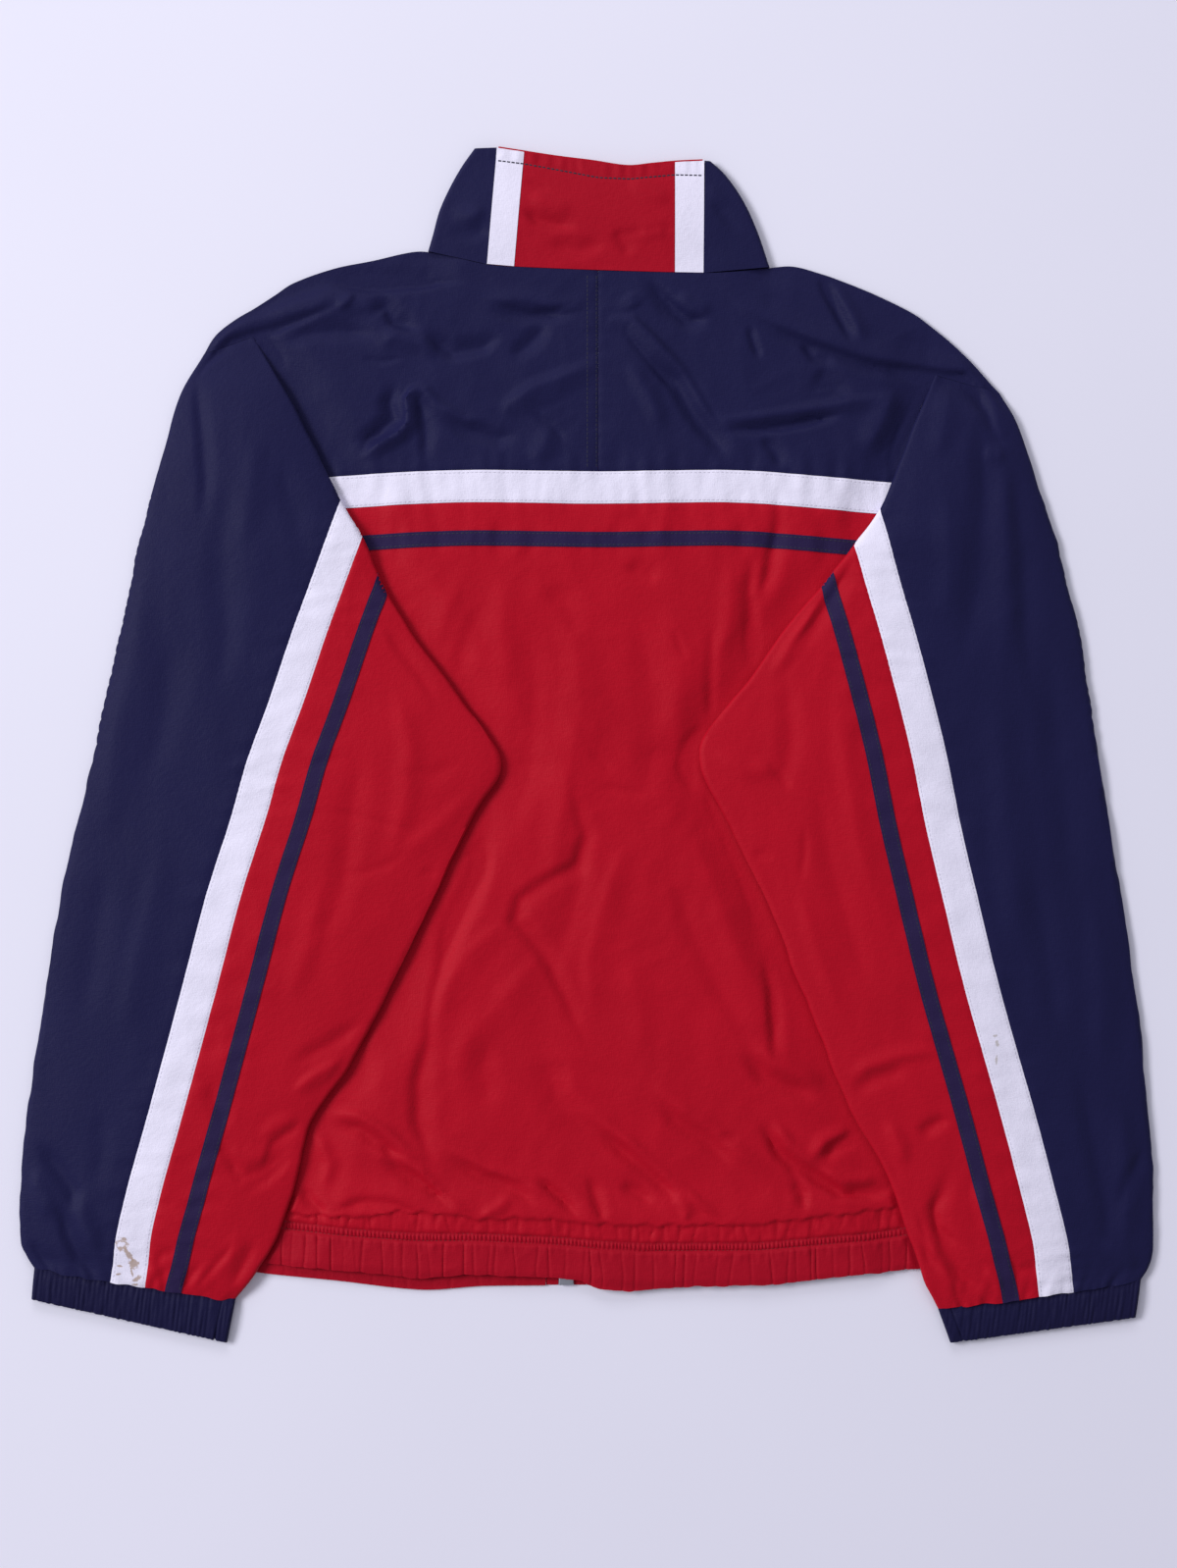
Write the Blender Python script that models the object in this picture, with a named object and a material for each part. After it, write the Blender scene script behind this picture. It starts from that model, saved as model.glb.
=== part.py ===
"""Track jacket laid flat on its front, back up, with its sleeves folded down over its sides.

Metres, +Z up. The origin lies under the middle of the outline, on the surface that the jacket
rests on, +X is the wearer's right and +Y runs from the hem to the collar. Sizes below are in
millimetres. The cloth lies in layers: the fronts, the back on them, and the sleeves on the back.
"""

import math
from collections import namedtuple

import bpy
from mathutils import Vector
from mathutils.geometry import delaunay_2d_cdt

MM = 0.001

# Walls and gaps
CLOTH = 1.2
TAPE = 1.0
SEAM = 0.3
LAYER_GAP = 0.4
SLEEVE_GAP = 0.6

# Heights of the layers
BACK_REST = CLOTH + LAYER_GAP
BACK_LOFT = 3.4
LOFT_MARGIN = 28.0
LOFT_RISE = 40.0
SLEEVE_REST = BACK_REST + CLOTH + SLEEVE_GAP

# Widths of the bands, measured down the back and across the sleeve
BAND = 22.5
BAND_TO_TAPE = 19.5
BACK_TAPE = 10.5
STRIPE = 24.3
STRIPE_TO_TAPE = 20.0
SLEEVE_TAPE = 11.5

# Centre back seam, and the line of the zip under it
CENTRE_BACK = 8.0
ZIP_LOW = (-14.0, -366.0)
ZIP_HIGH = (6.0, 386.0)
CHAIN_HALF = 5.0
ZIP_HALF = 14.0
TEETH_HEIGHT = 2.0
SLIDER_HEIGHT = 3.0
SLIDER_SPAN = (362.0, 374.0)
BOX_LENGTH = 9.0
ZIP_OVERHANG = 8.0
FRONT_NECK_Y = 300.0
FRONT_YOKE_Y = 150.0

# Folds of the cloth, and the pitch of the points within a panel
GRID_PITCH = 30.0
FOLD_R = 1.6
SHOULDER_FOLD_R = 0.8
SHOULDER_ROOM = 1.2
LIP = 4.0
RAMP_START = 2.0
RAMP = 18.0
EDGE_ROOM = 8.0
UPPER_STEPS = 5
TAPE_END_ROOM = 1.0
FOLD_ANGLES = (45.0, 0.0, -45.0)

CUFF_R = 1.8
CUFF_RIB = 8.0
RIB_DEPTH = 0.35
CUFF_UNDER_STEPS = 4
HEM_PLEAT = 16.0
PLEAT_DEPTH = 0.9
HEM_FLAT_END = 0.06

COLLAR_REST = BACK_REST + BACK_LOFT
LINING_REST = COLLAR_REST - SEAM - CLOTH
LINING_SHOWS = 1.5

NAVY = (0.016, 0.016, 0.060)
RED = (0.40, 0.006, 0.020)
WHITE = (0.80, 0.78, 0.90)
METAL = (0.45, 0.46, 0.50)

# Lines across the back, each a row of points from the wearer's left to the right
NECK_SEAM = (
    (-109.5, 341), (-69, 332), (-45, 330), (4, 328), (53, 326.5), (81, 326), (103, 327), (126.5, 330),
)
SHOULDER_LEFT = (
    (-265, 270), (-257, 283), (-243.5, 294), (-230, 302), (-216, 311), (-203, 319.5),
    (-175, 329.5), (-148, 335), (-121, 341), (-109.5, 341),
)
SHOULDER_RIGHT = (
    (126.5, 330), (143, 331), (162, 326), (171, 323), (198.5, 312), (226, 298.5),
    (239, 289), (253, 277.5), (266.5, 264.5), (280, 249.5), (286, 243),
)
YOKE_LINE = (
    (-209, 183), (-176, 185.5), (-114, 189), (-73, 190), (8, 189), (90, 190), (120, 189),
    (151, 186.5), (211, 181.5), (230, 180),
)
HEM_LINE = (
    (-240, -328), (-211, -332), (-159, -340), (-107, -342), (-55, -343.5), (0, -346),
    (80, -345), (131, -343.5), (184, -340), (222, -336), (247, -332),
)
HEM_EDGE = (
    (-240, -357), (-211, -360), (-150, -365), (-115, -369), (-80, -366), (-29, -368),
    (-12, -369), (-4, -371), (8, -376), (29, -378), (60, -375), (131, -373),
    (171, -368), (212, -364), (247, -361),
)
# The front's lower edge shows below the back's on the wearer's left
HEM_FRONT_EDGE = (
    (-240, -364), (-216, -367), (-175, -371), (-114, -377.5), (-73, -375), (-28, -374.5),
    (0, -361), (247, -358),
)
COLLAR_TOP = (
    (-77.5, 412), (-69, 412.5), (-62, 412.5), (-43, 409.5), (-20, 406), (4, 403), (28.5, 399.5),
    (45, 401), (61, 402.5), (81.5, 403.5), (86, 403),
)
# Seams of the collar's pieces: x at the neck seam and x at the top edge
COLLAR_SEAMS = ((-69.0, -62.0), (-50.0, -43.0), (61.0, 61.0), (81.0, 81.5))

# Sections of each sleeve from the shoulder to the cuff. outer and fold are its two folded edges,
# side is the body's side under it, stripe is the outer edge of the white stripe, over is 1 where
# the inner edge lies on the body, and puff is how far the upper side stands up between its edges.
Section = namedtuple("Section", "outer_x outer_y side_x stripe_x fold_x fold_y over puff")
LEFT_SLEEVE = (
    Section(-265, 270, -233, -233, -233, 281.5, 0, 0.0),
    Section(-281, 242, -209, -209, -209, 242, 1, 1.0),
    Section(-291, 210, -209, -190, -190, 210, 1, 2.0),
    Section(-302, 169, -209, -170, -170, 169, 1, 2.5),
    Section(-309, 142, -216, -179.5, -154, 142, 1.6, 2.5),
    Section(-316, 108, -234, -192, -140, 108, 1, 2.5),
    Section(-323, 77.5, -252, -203, -121, 77.5, 1, 2.5),
    Section(-333.5, 30, -270, -219, -86, 30, 1, 2.5),
    Section(-343, -14, -272, -235, -59, -14, 1, 2.5),
    Section(-351, -48, -271, -244.5, -78, -48, 1, 2.5),
    Section(-363, -103, -268, -262, -104, -103, 1, 2.5),
    Section(-373.5, -164, -262, -278, -134, -164, 1, 2.5),
    Section(-382, -220, -256, -293, -163, -220, 1, 2.5),
    Section(-388, -264, -250, -305, -192, -264, 1, 2.5),
    Section(-392, -307, -244, -317, -202, -307, 1, 2.5),
    Section(-392, -342, -240, -325, -215, -342, 1, 2.0),
    Section(-388, -353, -237, -327, -231, -368, 1, 1.0),
    Section(-382, -362, -260, -329, -243, -383, 0, 0.5),
)
RIGHT_SLEEVE = (
    Section(286, 243, 244, 244, 244, 255, 0, 0.0),
    Section(297, 224, 230, 230, 230, 224, 1, 1.0),
    Section(307, 196.5, 230, 217, 217, 196.5, 1, 2.0),
    Section(318, 162.5, 230, 203, 203, 162.5, 1, 2.5),
    Section(326, 139, 236, 209, 186, 139, 1.6, 2.5),
    Section(333, 108, 250, 217.5, 161, 108, 1, 2.5),
    Section(341, 77.5, 264, 226.5, 135, 77.5, 1, 2.5),
    Section(345.5, 46, 277, 235, 114, 46, 1, 2.5),
    Section(354, -6, 284, 248, 78, -6, 1, 2.5),
    Section(362, -56, 284, 258, 98.5, -56, 1, 2.5),
    Section(370, -103, 281, 269, 122, -103, 1, 2.5),
    Section(379, -167, 275, 284.5, 148, -167, 1, 2.5),
    Section(385, -215, 268, 298, 167, -215, 1, 2.5),
    Section(388, -250, 262, 308, 181, -250, 1, 2.5),
    Section(392, -299, 254, 321, 209, -299, 1, 2.5),
    Section(392, -346, 247, 332.5, 225, -346, 1, 2.0),
    Section(389, -361, 244, 335, 234, -371, 1, 1.0),
    Section(383.5, -370, 262, 336.5, 243.5, -390, 0, 0.5),
)
STRIPE_ROW = 3
UNDER_ROW = 4
TAPE_START = 4.8
STRIPE_TIP = 2.0
# Lower edges of the cuffs: the outer end and the inner end
LEFT_CUFF_EDGE = ((-384, -383.5), (-249, -413.5))
RIGHT_CUFF_EDGE = ((380, -396), (252, -413.5))

# Sections of the collar's sides, from the neck seam up: the folded edge, the strip's seam, and
# the height of the same row at the zip, under the fold.
CollarRow = namedtuple("CollarRow", "fold_x fold_y seam_x seam_y zip_y")
LEFT_COLLAR = (
    CollarRow(-109.5, 341, -69, 332, 300),
    CollarRow(-106, 353, -67.6, 348, 317),
    CollarRow(-102, 368, -66.2, 364, 334),
    CollarRow(-94, 386, -64.8, 380, 351),
    CollarRow(-86, 400, -63.4, 396, 368),
    CollarRow(-77.5, 412, -62, 412.5, 385),
)
RIGHT_COLLAR = (
    CollarRow(126.5, 330, 81, 326, 300),
    CollarRow(118, 355, 81.1, 343, 317),
    CollarRow(110, 373, 81.2, 360, 334),
    CollarRow(102, 386, 81.3, 375, 351),
    CollarRow(94, 396, 81.4, 390, 368),
    CollarRow(86, 403, 81.5, 403.5, 385),
)

# Largest soft folds of the back: a ridge from one point to the other, its half width and height
Ridge = namedtuple("Ridge", "x0 y0 x1 y1 half_width height")
RIDGES = (
    Ridge(-18, 112, -34, 20, 26, 2.6),
    Ridge(44, -50, 40, -190, 32, 2.6),
    Ridge(-70, -150, -40, -240, 30, 2.2),
    Ridge(-110, -262, -20, -306, 24, 3.0),
    Ridge(132, -268, 40, -222, 28, 3.0),
    Ridge(-90, 232, -130, 262, 26, 2.8),
    Ridge(36, 288, 84, 222, 26, 2.8),
    Ridge(110, 250, 168, 236, 24, 2.4),
)


def clear_scene():
    for item in list(bpy.data.objects):
        bpy.data.objects.remove(item, do_unlink=True)


def material(name, colour, roughness, metallic=0.0):
    made = bpy.data.materials.new(name)
    made.use_nodes = True
    shader = made.node_tree.nodes["Principled BSDF"]
    shader.inputs["Base Color"].default_value = (*colour, 1.0)
    shader.inputs["Roughness"].default_value = roughness
    shader.inputs["Metallic"].default_value = metallic
    return made


def smooth(value):
    """0 below 0, 1 above 1, and a soft step between."""
    value = min(1.0, max(0.0, value))
    return value * value * (3.0 - 2.0 * value)


def mix(first, second, share):
    return first + (second - first) * share


def line_y(line, x):
    """The height of a line of points at x, level beyond its ends."""
    if x <= line[0][0]:
        return line[0][1]
    for (x0, y0), (x1, y1) in zip(line, line[1:]):
        if x <= x1:
            return mix(y0, y1, (x - x0) / (x1 - x0))
    return line[-1][1]


def cut(line, x0, x1, drop=0.0):
    """The stretch of a line from x0 to x1, moved down by drop, in the order asked for."""
    low, high = min(x0, x1), max(x0, x1)
    inner = [(x, y - drop) for x, y in line if low < x < high]
    points = [(low, line_y(line, low) - drop), *inner, (high, line_y(line, high) - drop)]
    return points if x0 < x1 else points[::-1]


def zip_x(y):
    return mix(ZIP_LOW[0], ZIP_HIGH[0], (y - ZIP_LOW[1]) / (ZIP_HIGH[1] - ZIP_LOW[1]))


def fold_x(sections, y):
    """Where a sleeve's inner edge lies at this height, level beyond its ends."""
    if y >= sections[0].fold_y:
        return sections[0].fold_x
    for above, below in zip(sections, sections[1:]):
        if y >= below.fold_y:
            share = (y - above.fold_y) / (below.fold_y - above.fold_y)
            return mix(above.fold_x, below.fold_x, share)
    return sections[-1].fold_x


def ridge_height(ridge, x, y):
    """A ridge with a rounded crest, which fades towards both ends."""
    run = Vector((ridge.x1 - ridge.x0, ridge.y1 - ridge.y0))
    away = Vector((x - ridge.x0, y - ridge.y0))
    share = min(1.0, max(0.0, away.dot(run) / run.length_squared))
    distance = (away - run * share).length
    return ridge.height * smooth(1.0 - distance / ridge.half_width)


def back_height(x, y):
    """Underside of the back. It is lowest under the sleeves and at the shoulders."""
    neck = max(0.0, min(x - NECK_SEAM[0][0], NECK_SEAM[-1][0] - x))
    shoulder = SHOULDER_LEFT if x < 0 else SHOULDER_RIGHT
    room = min(
        x - fold_x(LEFT_SLEEVE, y),
        fold_x(RIGHT_SLEEVE, y) - x,
        line_y(shoulder, x) - y + neck + LOFT_MARGIN,
    )
    loft = smooth((room - LOFT_MARGIN) / LOFT_RISE)
    ridges = sum(ridge_height(ridge, x, y) for ridge in RIDGES)
    return BACK_REST + loft * (BACK_LOFT + ridges)


def floor_height(x, y):
    return 0.0


def new_object(name, points, faces, finish):
    mesh = bpy.data.meshes.new(name)
    mesh.from_pydata([Vector(point) * MM for point in points], [], faces)
    mesh.materials.append(finish)
    mesh.update()
    made = bpy.data.objects.new(name, mesh)
    bpy.context.scene.collection.objects.link(made)
    return made


def wall(name, middles, normals, faces, thickness, finish):
    """A closed wall on both sides of a middle surface, whose faces turn left round their normals."""
    count = len(middles)
    half = thickness / 2.0
    points = [m + n * half for m, n in zip(middles, normals)]
    points += [m - n * half for m, n in zip(middles, normals)]
    edges = {(a, b) for face in faces for a, b in zip(face, face[1:] + face[:1])}
    solid = [tuple(face) for face in faces]
    solid += [tuple(corner + count for corner in reversed(face)) for face in faces]
    solid += [(b, a, a + count, b + count) for a, b in edges if (b, a) not in edges]
    return new_object(name, points, solid, finish)


def inset(outline, distance):
    """The outline, anticlockwise, with each edge moved inwards."""
    moved = []
    for before, here, after in zip(outline[-1:] + outline[:-1], outline, outline[1:] + outline[:1]):
        here = Vector(here)
        first = (here - Vector(before)).normalized()
        second = (Vector(after) - here).normalized()
        first_in = Vector((-first.y, first.x))
        second_in = Vector((-second.y, second.x))
        halfway = first_in + second_in
        moved.append(here + halfway * (distance / max(0.3, halfway.dot(first_in))))
    return moved


def inside(outline, point):
    hit = False
    for a, b in zip(outline, outline[1:] + outline[:1]):
        if (a.y > point.y) != (b.y > point.y):
            if point.x < a.x + (point.y - a.y) * (b.x - a.x) / (b.y - a.y):
                hit = not hit
    return hit


def clear_of(outline, point, room):
    for a, b in zip(outline, outline[1:] + outline[:1]):
        run = b - a
        share = min(1.0, max(0.0, (point - a).dot(run) / max(run.length_squared, 1e-9)))
        if (point - a - run * share).length < room:
            return False
    return True


def flat_cut(outline, pitch, lines=()):
    """Plan points and triangles of a flat piece: its outline, lines laid across it, and a grid."""
    outline = inset(outline, SEAM / 2.0)
    points = list(outline)
    edges = [(i, (i + 1) % len(outline)) for i in range(len(outline))]
    for line in lines:
        start = len(points)
        points += [Vector(point) for point in line]
        edges += [(i, i + 1) for i in range(start, len(points) - 1)]
    on_lines = list(points)
    if pitch:
        low_x = min(point.x for point in outline)
        high_x = max(point.x for point in outline)
        low_y = min(point.y for point in outline)
        high_y = max(point.y for point in outline)
        across = math.ceil((high_x - low_x) / pitch)
        down = math.ceil((high_y - low_y) / pitch)
        for row in range(down + 1):
            for column in range(across + 1):
                shift = 0.25 * pitch * (1 if row % 2 else -1)
                x = low_x + pitch * column + shift
                point = Vector((x, low_y + pitch * row))
                if not inside(outline, point) or not clear_of(outline, point, 0.5 * pitch):
                    continue
                if all((point - other).length > 0.5 * pitch for other in on_lines):
                    points.append(point)
    found = delaunay_2d_cdt(points, edges, [], 1, 1e-5)
    plan = [Vector(point) for point in found[0]]
    faces = []
    for a, b, c in found[2]:
        turn = (plan[b] - plan[a]).cross(plan[c] - plan[a])
        faces.append([a, b, c] if turn > 0 else [a, c, b])
    return plan, faces


def flat_piece(name, outline, height, finish, pitch=0.0, lines=()):
    """A piece of cloth of this outline, whose underside lies at height(x, y)."""
    plan, faces = flat_cut(outline, pitch, lines)
    up = Vector((0, 0, 1))
    middles = [Vector((p.x, p.y, height(p.x, p.y) + CLOTH / 2.0)) for p in plan]
    wall(name, middles, [up] * len(plan), faces, CLOTH, finish)
    return plan, faces


def laid_on(name, plan, faces, wanted, height, finish):
    """A tape made from the points of the piece that it is sewn to, moved up off it."""
    chosen = [face for face in faces if wanted(sum((plan[i] for i in face), Vector((0, 0))) / 3)]
    used = sorted({corner for face in chosen for corner in face})
    index = {corner: place for place, corner in enumerate(used)}
    lift = CLOTH + SEAM + TAPE / 2.0
    middles = [Vector((plan[i].x, plan[i].y, height(*plan[i]) + lift)) for i in used]
    up = Vector((0, 0, 1))
    wall(name, middles, [up] * len(used), [[index[i] for i in face] for face in chosen], TAPE, finish)


def side_points(sections, high, low):
    """The body's side under a sleeve, from high down to low."""
    rows = [(s.side_x, s.fold_y) for s in sections[1:-1] if low < s.fold_y < high]
    x_at = [(s.fold_y, s.side_x) for s in reversed(sections[1:-1])]
    return [(line_y(x_at, high), high), *rows, (line_y(x_at, low), low)]


def body(cloth):
    """The back and the fronts, edge to edge in their two layers."""
    left, right = LEFT_SLEEVE, RIGHT_SLEEVE
    first_left, first_right = YOKE_LINE[0][0], YOKE_LINE[-1][0]

    def shoulder_edge(sections):
        """The short edge that the sleeve turns over at the shoulder, clear of the sleeve's fold."""
        top, below = sections[0], sections[1]
        seam = Vector((top.fold_x - top.outer_x, top.fold_y - top.outer_y)).normalized()
        room = SHOULDER_ROOM * math.copysign(1.0, seam.x)
        high = Vector((top.fold_x, top.fold_y)) + seam * SHOULDER_ROOM
        return [(below.fold_x + room, below.fold_y), (high.x, high.y)]

    yoke_left = cut(YOKE_LINE, first_left, CENTRE_BACK)
    yoke_left += cut(NECK_SEAM, CENTRE_BACK, NECK_SEAM[0][0])
    yoke_left += list(reversed(SHOULDER_LEFT))[1:] + shoulder_edge(left)[::-1]
    flat_piece("back_yoke_left", yoke_left, back_height, cloth["navy"], GRID_PITCH)
    yoke_right = cut(YOKE_LINE, CENTRE_BACK, first_right) + shoulder_edge(right)
    yoke_right += list(reversed(SHOULDER_RIGHT))
    yoke_right += cut(NECK_SEAM, NECK_SEAM[-1][0], CENTRE_BACK)[1:]
    flat_piece("back_yoke_right", yoke_right, back_height, cloth["navy"], GRID_PITCH)

    band_low = cut(YOKE_LINE, first_left, first_right, BAND)
    band = band_low + cut(YOKE_LINE, first_right, first_left)
    flat_piece("back_band", band, back_height, cloth["white"])

    hem = cut(HEM_LINE, HEM_LINE[0][0], HEM_LINE[-1][0])
    side_left = side_points(left, band_low[0][1], hem[0][1])
    side_right = side_points(right, band_low[-1][1], hem[-1][1])
    tape_top = BAND + BAND_TO_TAPE
    tape_low = tape_top + BACK_TAPE
    ends = (first_left + TAPE_END_ROOM, first_right - TAPE_END_ROOM)
    lines = [cut(YOKE_LINE, *ends, drop) for drop in (tape_top, tape_low)]
    panel = hem[:-1] + side_right[::-1] + band_low[::-1][1:-1] + side_left[:-1]
    plan, faces = flat_piece("back_panel", panel, back_height, cloth["red"], GRID_PITCH, lines)

    def under_tape(middle):
        below = line_y(YOKE_LINE, middle.x) - middle.y
        return tape_top < below < tape_low and ends[0] < middle.x < ends[1]

    laid_on("back_tape", plan, faces, under_tape, back_height, cloth["navy"])
    front(cloth, side_left, side_right, shoulder_edge)


def front(cloth, side_left, side_right, shoulder_edge):
    """Plain fronts under the back, each an upper and a lower piece on its side of the zip."""
    left, right = LEFT_SLEEVE, RIGHT_SLEEVE
    for side, name in ((-1, "left"), (1, "right")):
        sections = left if side < 0 else right
        shoulder = SHOULDER_LEFT if side < 0 else SHOULDER_RIGHT[::-1]
        points = side_left if side < 0 else side_right
        edge = shoulder_edge(sections)
        yoke_low = (sections[1].fold_x, FRONT_YOKE_Y)
        yoke = [yoke_low, (zip_x(FRONT_YOKE_Y) + side * ZIP_HALF, FRONT_YOKE_Y)]
        yoke += [(zip_x(FRONT_NECK_Y) + side * ZIP_HALF, FRONT_NECK_Y)]
        yoke += list(shoulder)[::-1] + edge[::-1]
        lower = [yoke_low] + [p for p in points if p[1] < FRONT_YOKE_Y]
        low_y = points[-1][1]
        lower += [(zip_x(low_y) + side * ZIP_HALF, low_y)]
        lower += [(zip_x(FRONT_YOKE_Y) + side * ZIP_HALF, FRONT_YOKE_Y)]
        hem_side = HEM_LINE[0][0] if side < 0 else HEM_LINE[-1][0]
        hem_low = line_y(HEM_FRONT_EDGE, ZIP_LOW[0] + side * ZIP_HALF)
        zip_side = zip_x(hem_low) + side * ZIP_HALF
        hem = [(hem_side, low_y)] + cut(HEM_FRONT_EDGE, hem_side, zip_side)
        hem += [(zip_x(low_y) + side * ZIP_HALF, low_y)]
        if side > 0:
            yoke, lower, hem = yoke[::-1], lower[::-1], hem[::-1]
        flat_piece("front_yoke_" + name, yoke, floor_height, cloth["navy"])
        flat_piece("front_" + name, lower, floor_height, cloth["red"])
        flat_piece("hem_front_" + name, hem, floor_height, cloth["red"])


def grid_faces(rows, columns, ring=False):
    """Faces of a grid of points, and of the last column to the first where it is a ring."""
    faces = []
    for row in range(rows - 1):
        for column in range(columns if ring else columns - 1):
            after = (column + 1) % columns
            low, high = row * columns, (row + 1) * columns
            faces.append([low + column, low + after, high + after, high + column])
    return faces


def facing(middles, normals, faces):
    """The same faces, turned so that they go left round their normals."""
    turned = []
    for face in faces:
        a, b, c = (middles[face[i]] for i in (0, 1, 2))
        normal = sum((normals[i] for i in face), Vector((0, 0, 0)))
        turned.append(face if (b - a).cross(c - a).dot(normal) > 0 else face[::-1])
    return turned


def hem_back(cloth):
    """The gathered casing along the back's lower edge, with its pleats."""
    x0, x1 = HEM_LINE[0][0], HEM_LINE[-1][0]
    count = 2 * round((x1 - x0) / HEM_PLEAT)
    middles = []
    for drop in (0.0, 0.5, 1.0):
        for column in range(count + 1):
            share = column / count
            x = mix(x0 + SEAM, x1 - SEAM, share)
            top = line_y(HEM_LINE, x) - SEAM
            low = line_y(HEM_EDGE, x)
            flat_end = min(share, 1.0 - share) - HEM_FLAT_END
            pleat = PLEAT_DEPTH * (column % 2) * smooth(flat_end / HEM_FLAT_END)
            y = mix(top, low, drop)
            middles.append(Vector((x, y, back_height(x, y) + pleat + CLOTH / 2.0)))
    normals = [Vector((0, 0, 1))] * len(middles)
    faces = facing(middles, normals, grid_faces(3, count + 1))
    wall("hem_back", middles, normals, faces, CLOTH, cloth["red"])


class Across:
    """One section across a folded sleeve. Distances along it run from the outer fold, in mm."""

    def __init__(self, sections, place, shift=0.0):
        row = min(int(place), len(sections) - 2)
        share = place - row
        numbers = [mix(a, b, share) for a, b in zip(sections[row], sections[row + 1])]
        here = Section(*numbers)
        down = Vector((
            sections[row + 1].outer_x - sections[row].outer_x,
            sections[row + 1].outer_y - sections[row].outer_y,
        )).normalized()
        self.place = place
        self.outer = Vector((here.outer_x, here.outer_y)) + down * shift
        self.inner = Vector((here.fold_x, here.fold_y)) + down * shift
        run = self.inner - self.outer
        self.width = run.length
        self.along = run.normalized()
        per_x = self.width / (here.fold_x - here.outer_x)
        self.side = (here.side_x - here.outer_x) * per_x
        self.stripe = (here.stripe_x - here.outer_x) * per_x
        self.rest = here.over * SLEEVE_REST
        self.puff = here.puff
        self.radius = mix(SHOULDER_FOLD_R, FOLD_R, smooth(place))
        self.flat = self.width - 2.0 * self.radius

    def point(self, distance, height):
        plan = self.outer + self.along * distance
        return Vector((plan.x, plan.y, height))

    def upper(self, distance):
        share = min(1.0, max(0.0, (distance - self.radius) / self.flat))
        height = CLOTH / 2.0 + 2.0 * self.radius + self.rest * share
        height += self.puff * math.sin(math.pi * share)
        return self.point(distance, height), Vector((0, 0, 1))

    def lower(self, distance, on_body):
        height = CLOTH / 2.0 + (self.rest if on_body else 0.0)
        return self.point(distance, height), Vector((0, 0, -1))

    def round_fold(self, angle, inner):
        """A point of the fold's arc. 90 degrees is its top, 0 its edge and -90 its underside."""
        out = math.cos(math.radians(angle))
        up = math.sin(math.radians(angle))
        centre = self.width - self.radius if inner else self.radius
        side = 1.0 if inner else -1.0
        height = CLOTH / 2.0 + (self.rest if inner else 0.0) + self.radius
        middle = self.point(centre + side * out * self.radius, height + up * self.radius)
        return middle, Vector((self.along.x * side * out, self.along.y * side * out, up))

    def lip(self):
        return LIP * min(1.0, max(0.0, self.place - UNDER_ROW))


def sleeve_top(name, sections, cloth):
    """Outer sleeve: the upper side to the stripe, the outer fold, and the whole underside.

    Above the stripe's start it closes round the inner fold too, so that it is a tube there.
    """
    last = len(sections) - 1
    rows = []
    for place in range(last + 1):
        at_end = SEAM / 2.0 if place == 0 else -SEAM / 2.0 if place == last else 0.0
        cross = Across(sections, place, at_end)
        reach = cross.width - cross.radius
        edge = min(cross.side - RAMP_START, cross.width - EDGE_ROOM)
        outer = cross.radius
        points = [cross.lower(reach - cross.lip() - SEAM, True), cross.lower(edge, True)]
        points += [cross.lower(edge - RAMP, False)]
        points += [cross.lower(mix(edge - RAMP, outer, 0.5), False), cross.lower(outer, False)]
        points += [cross.round_fold(angle, False) for angle in reversed(FOLD_ANGLES)]
        end = reach if place <= STRIPE_ROW else cross.stripe - SEAM / 2.0
        shares = [step / UPPER_STEPS for step in range(UPPER_STEPS + 1)]
        points += [cross.upper(mix(outer, end, share)) for share in shares]
        open_columns = len(points)
        points += [cross.round_fold(angle, True) for angle in FOLD_ANGLES]
        rows.append(points)
    columns = len(rows[0])
    middles = [middle for row in rows for middle, _ in row]
    normals = [normal for row in rows for _, normal in row]
    faces = []
    for row in range(last):
        for column in range(columns):
            if column >= open_columns - 1 and row >= UNDER_ROW:
                continue
            if column == open_columns - 1 and row >= STRIPE_ROW:
                continue
            after = (column + 1) % columns
            low, high = row * columns, (row + 1) * columns
            faces.append([low + column, low + after, high + after, high + column])
    used = sorted({corner for face in faces for corner in face})
    index = {corner: place for place, corner in enumerate(used)}
    middles = [middles[i] for i in used]
    normals = [normals[i] for i in used]
    faces = [[index[i] for i in face] for face in faces]
    wall(name, middles, normals, facing(middles, normals, faces), CLOTH, cloth["navy"])


def first_place(sections, row, inward, room):
    """Where, below a section, a piece that starts this far inward of the stripe is room wide."""
    widths = []
    for place in (row, row + 1):
        cross = Across(sections, place)
        widths.append(cross.width - cross.radius - cross.stripe - inward)
    return row + (room - widths[0]) / (widths[1] - widths[0])


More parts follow.
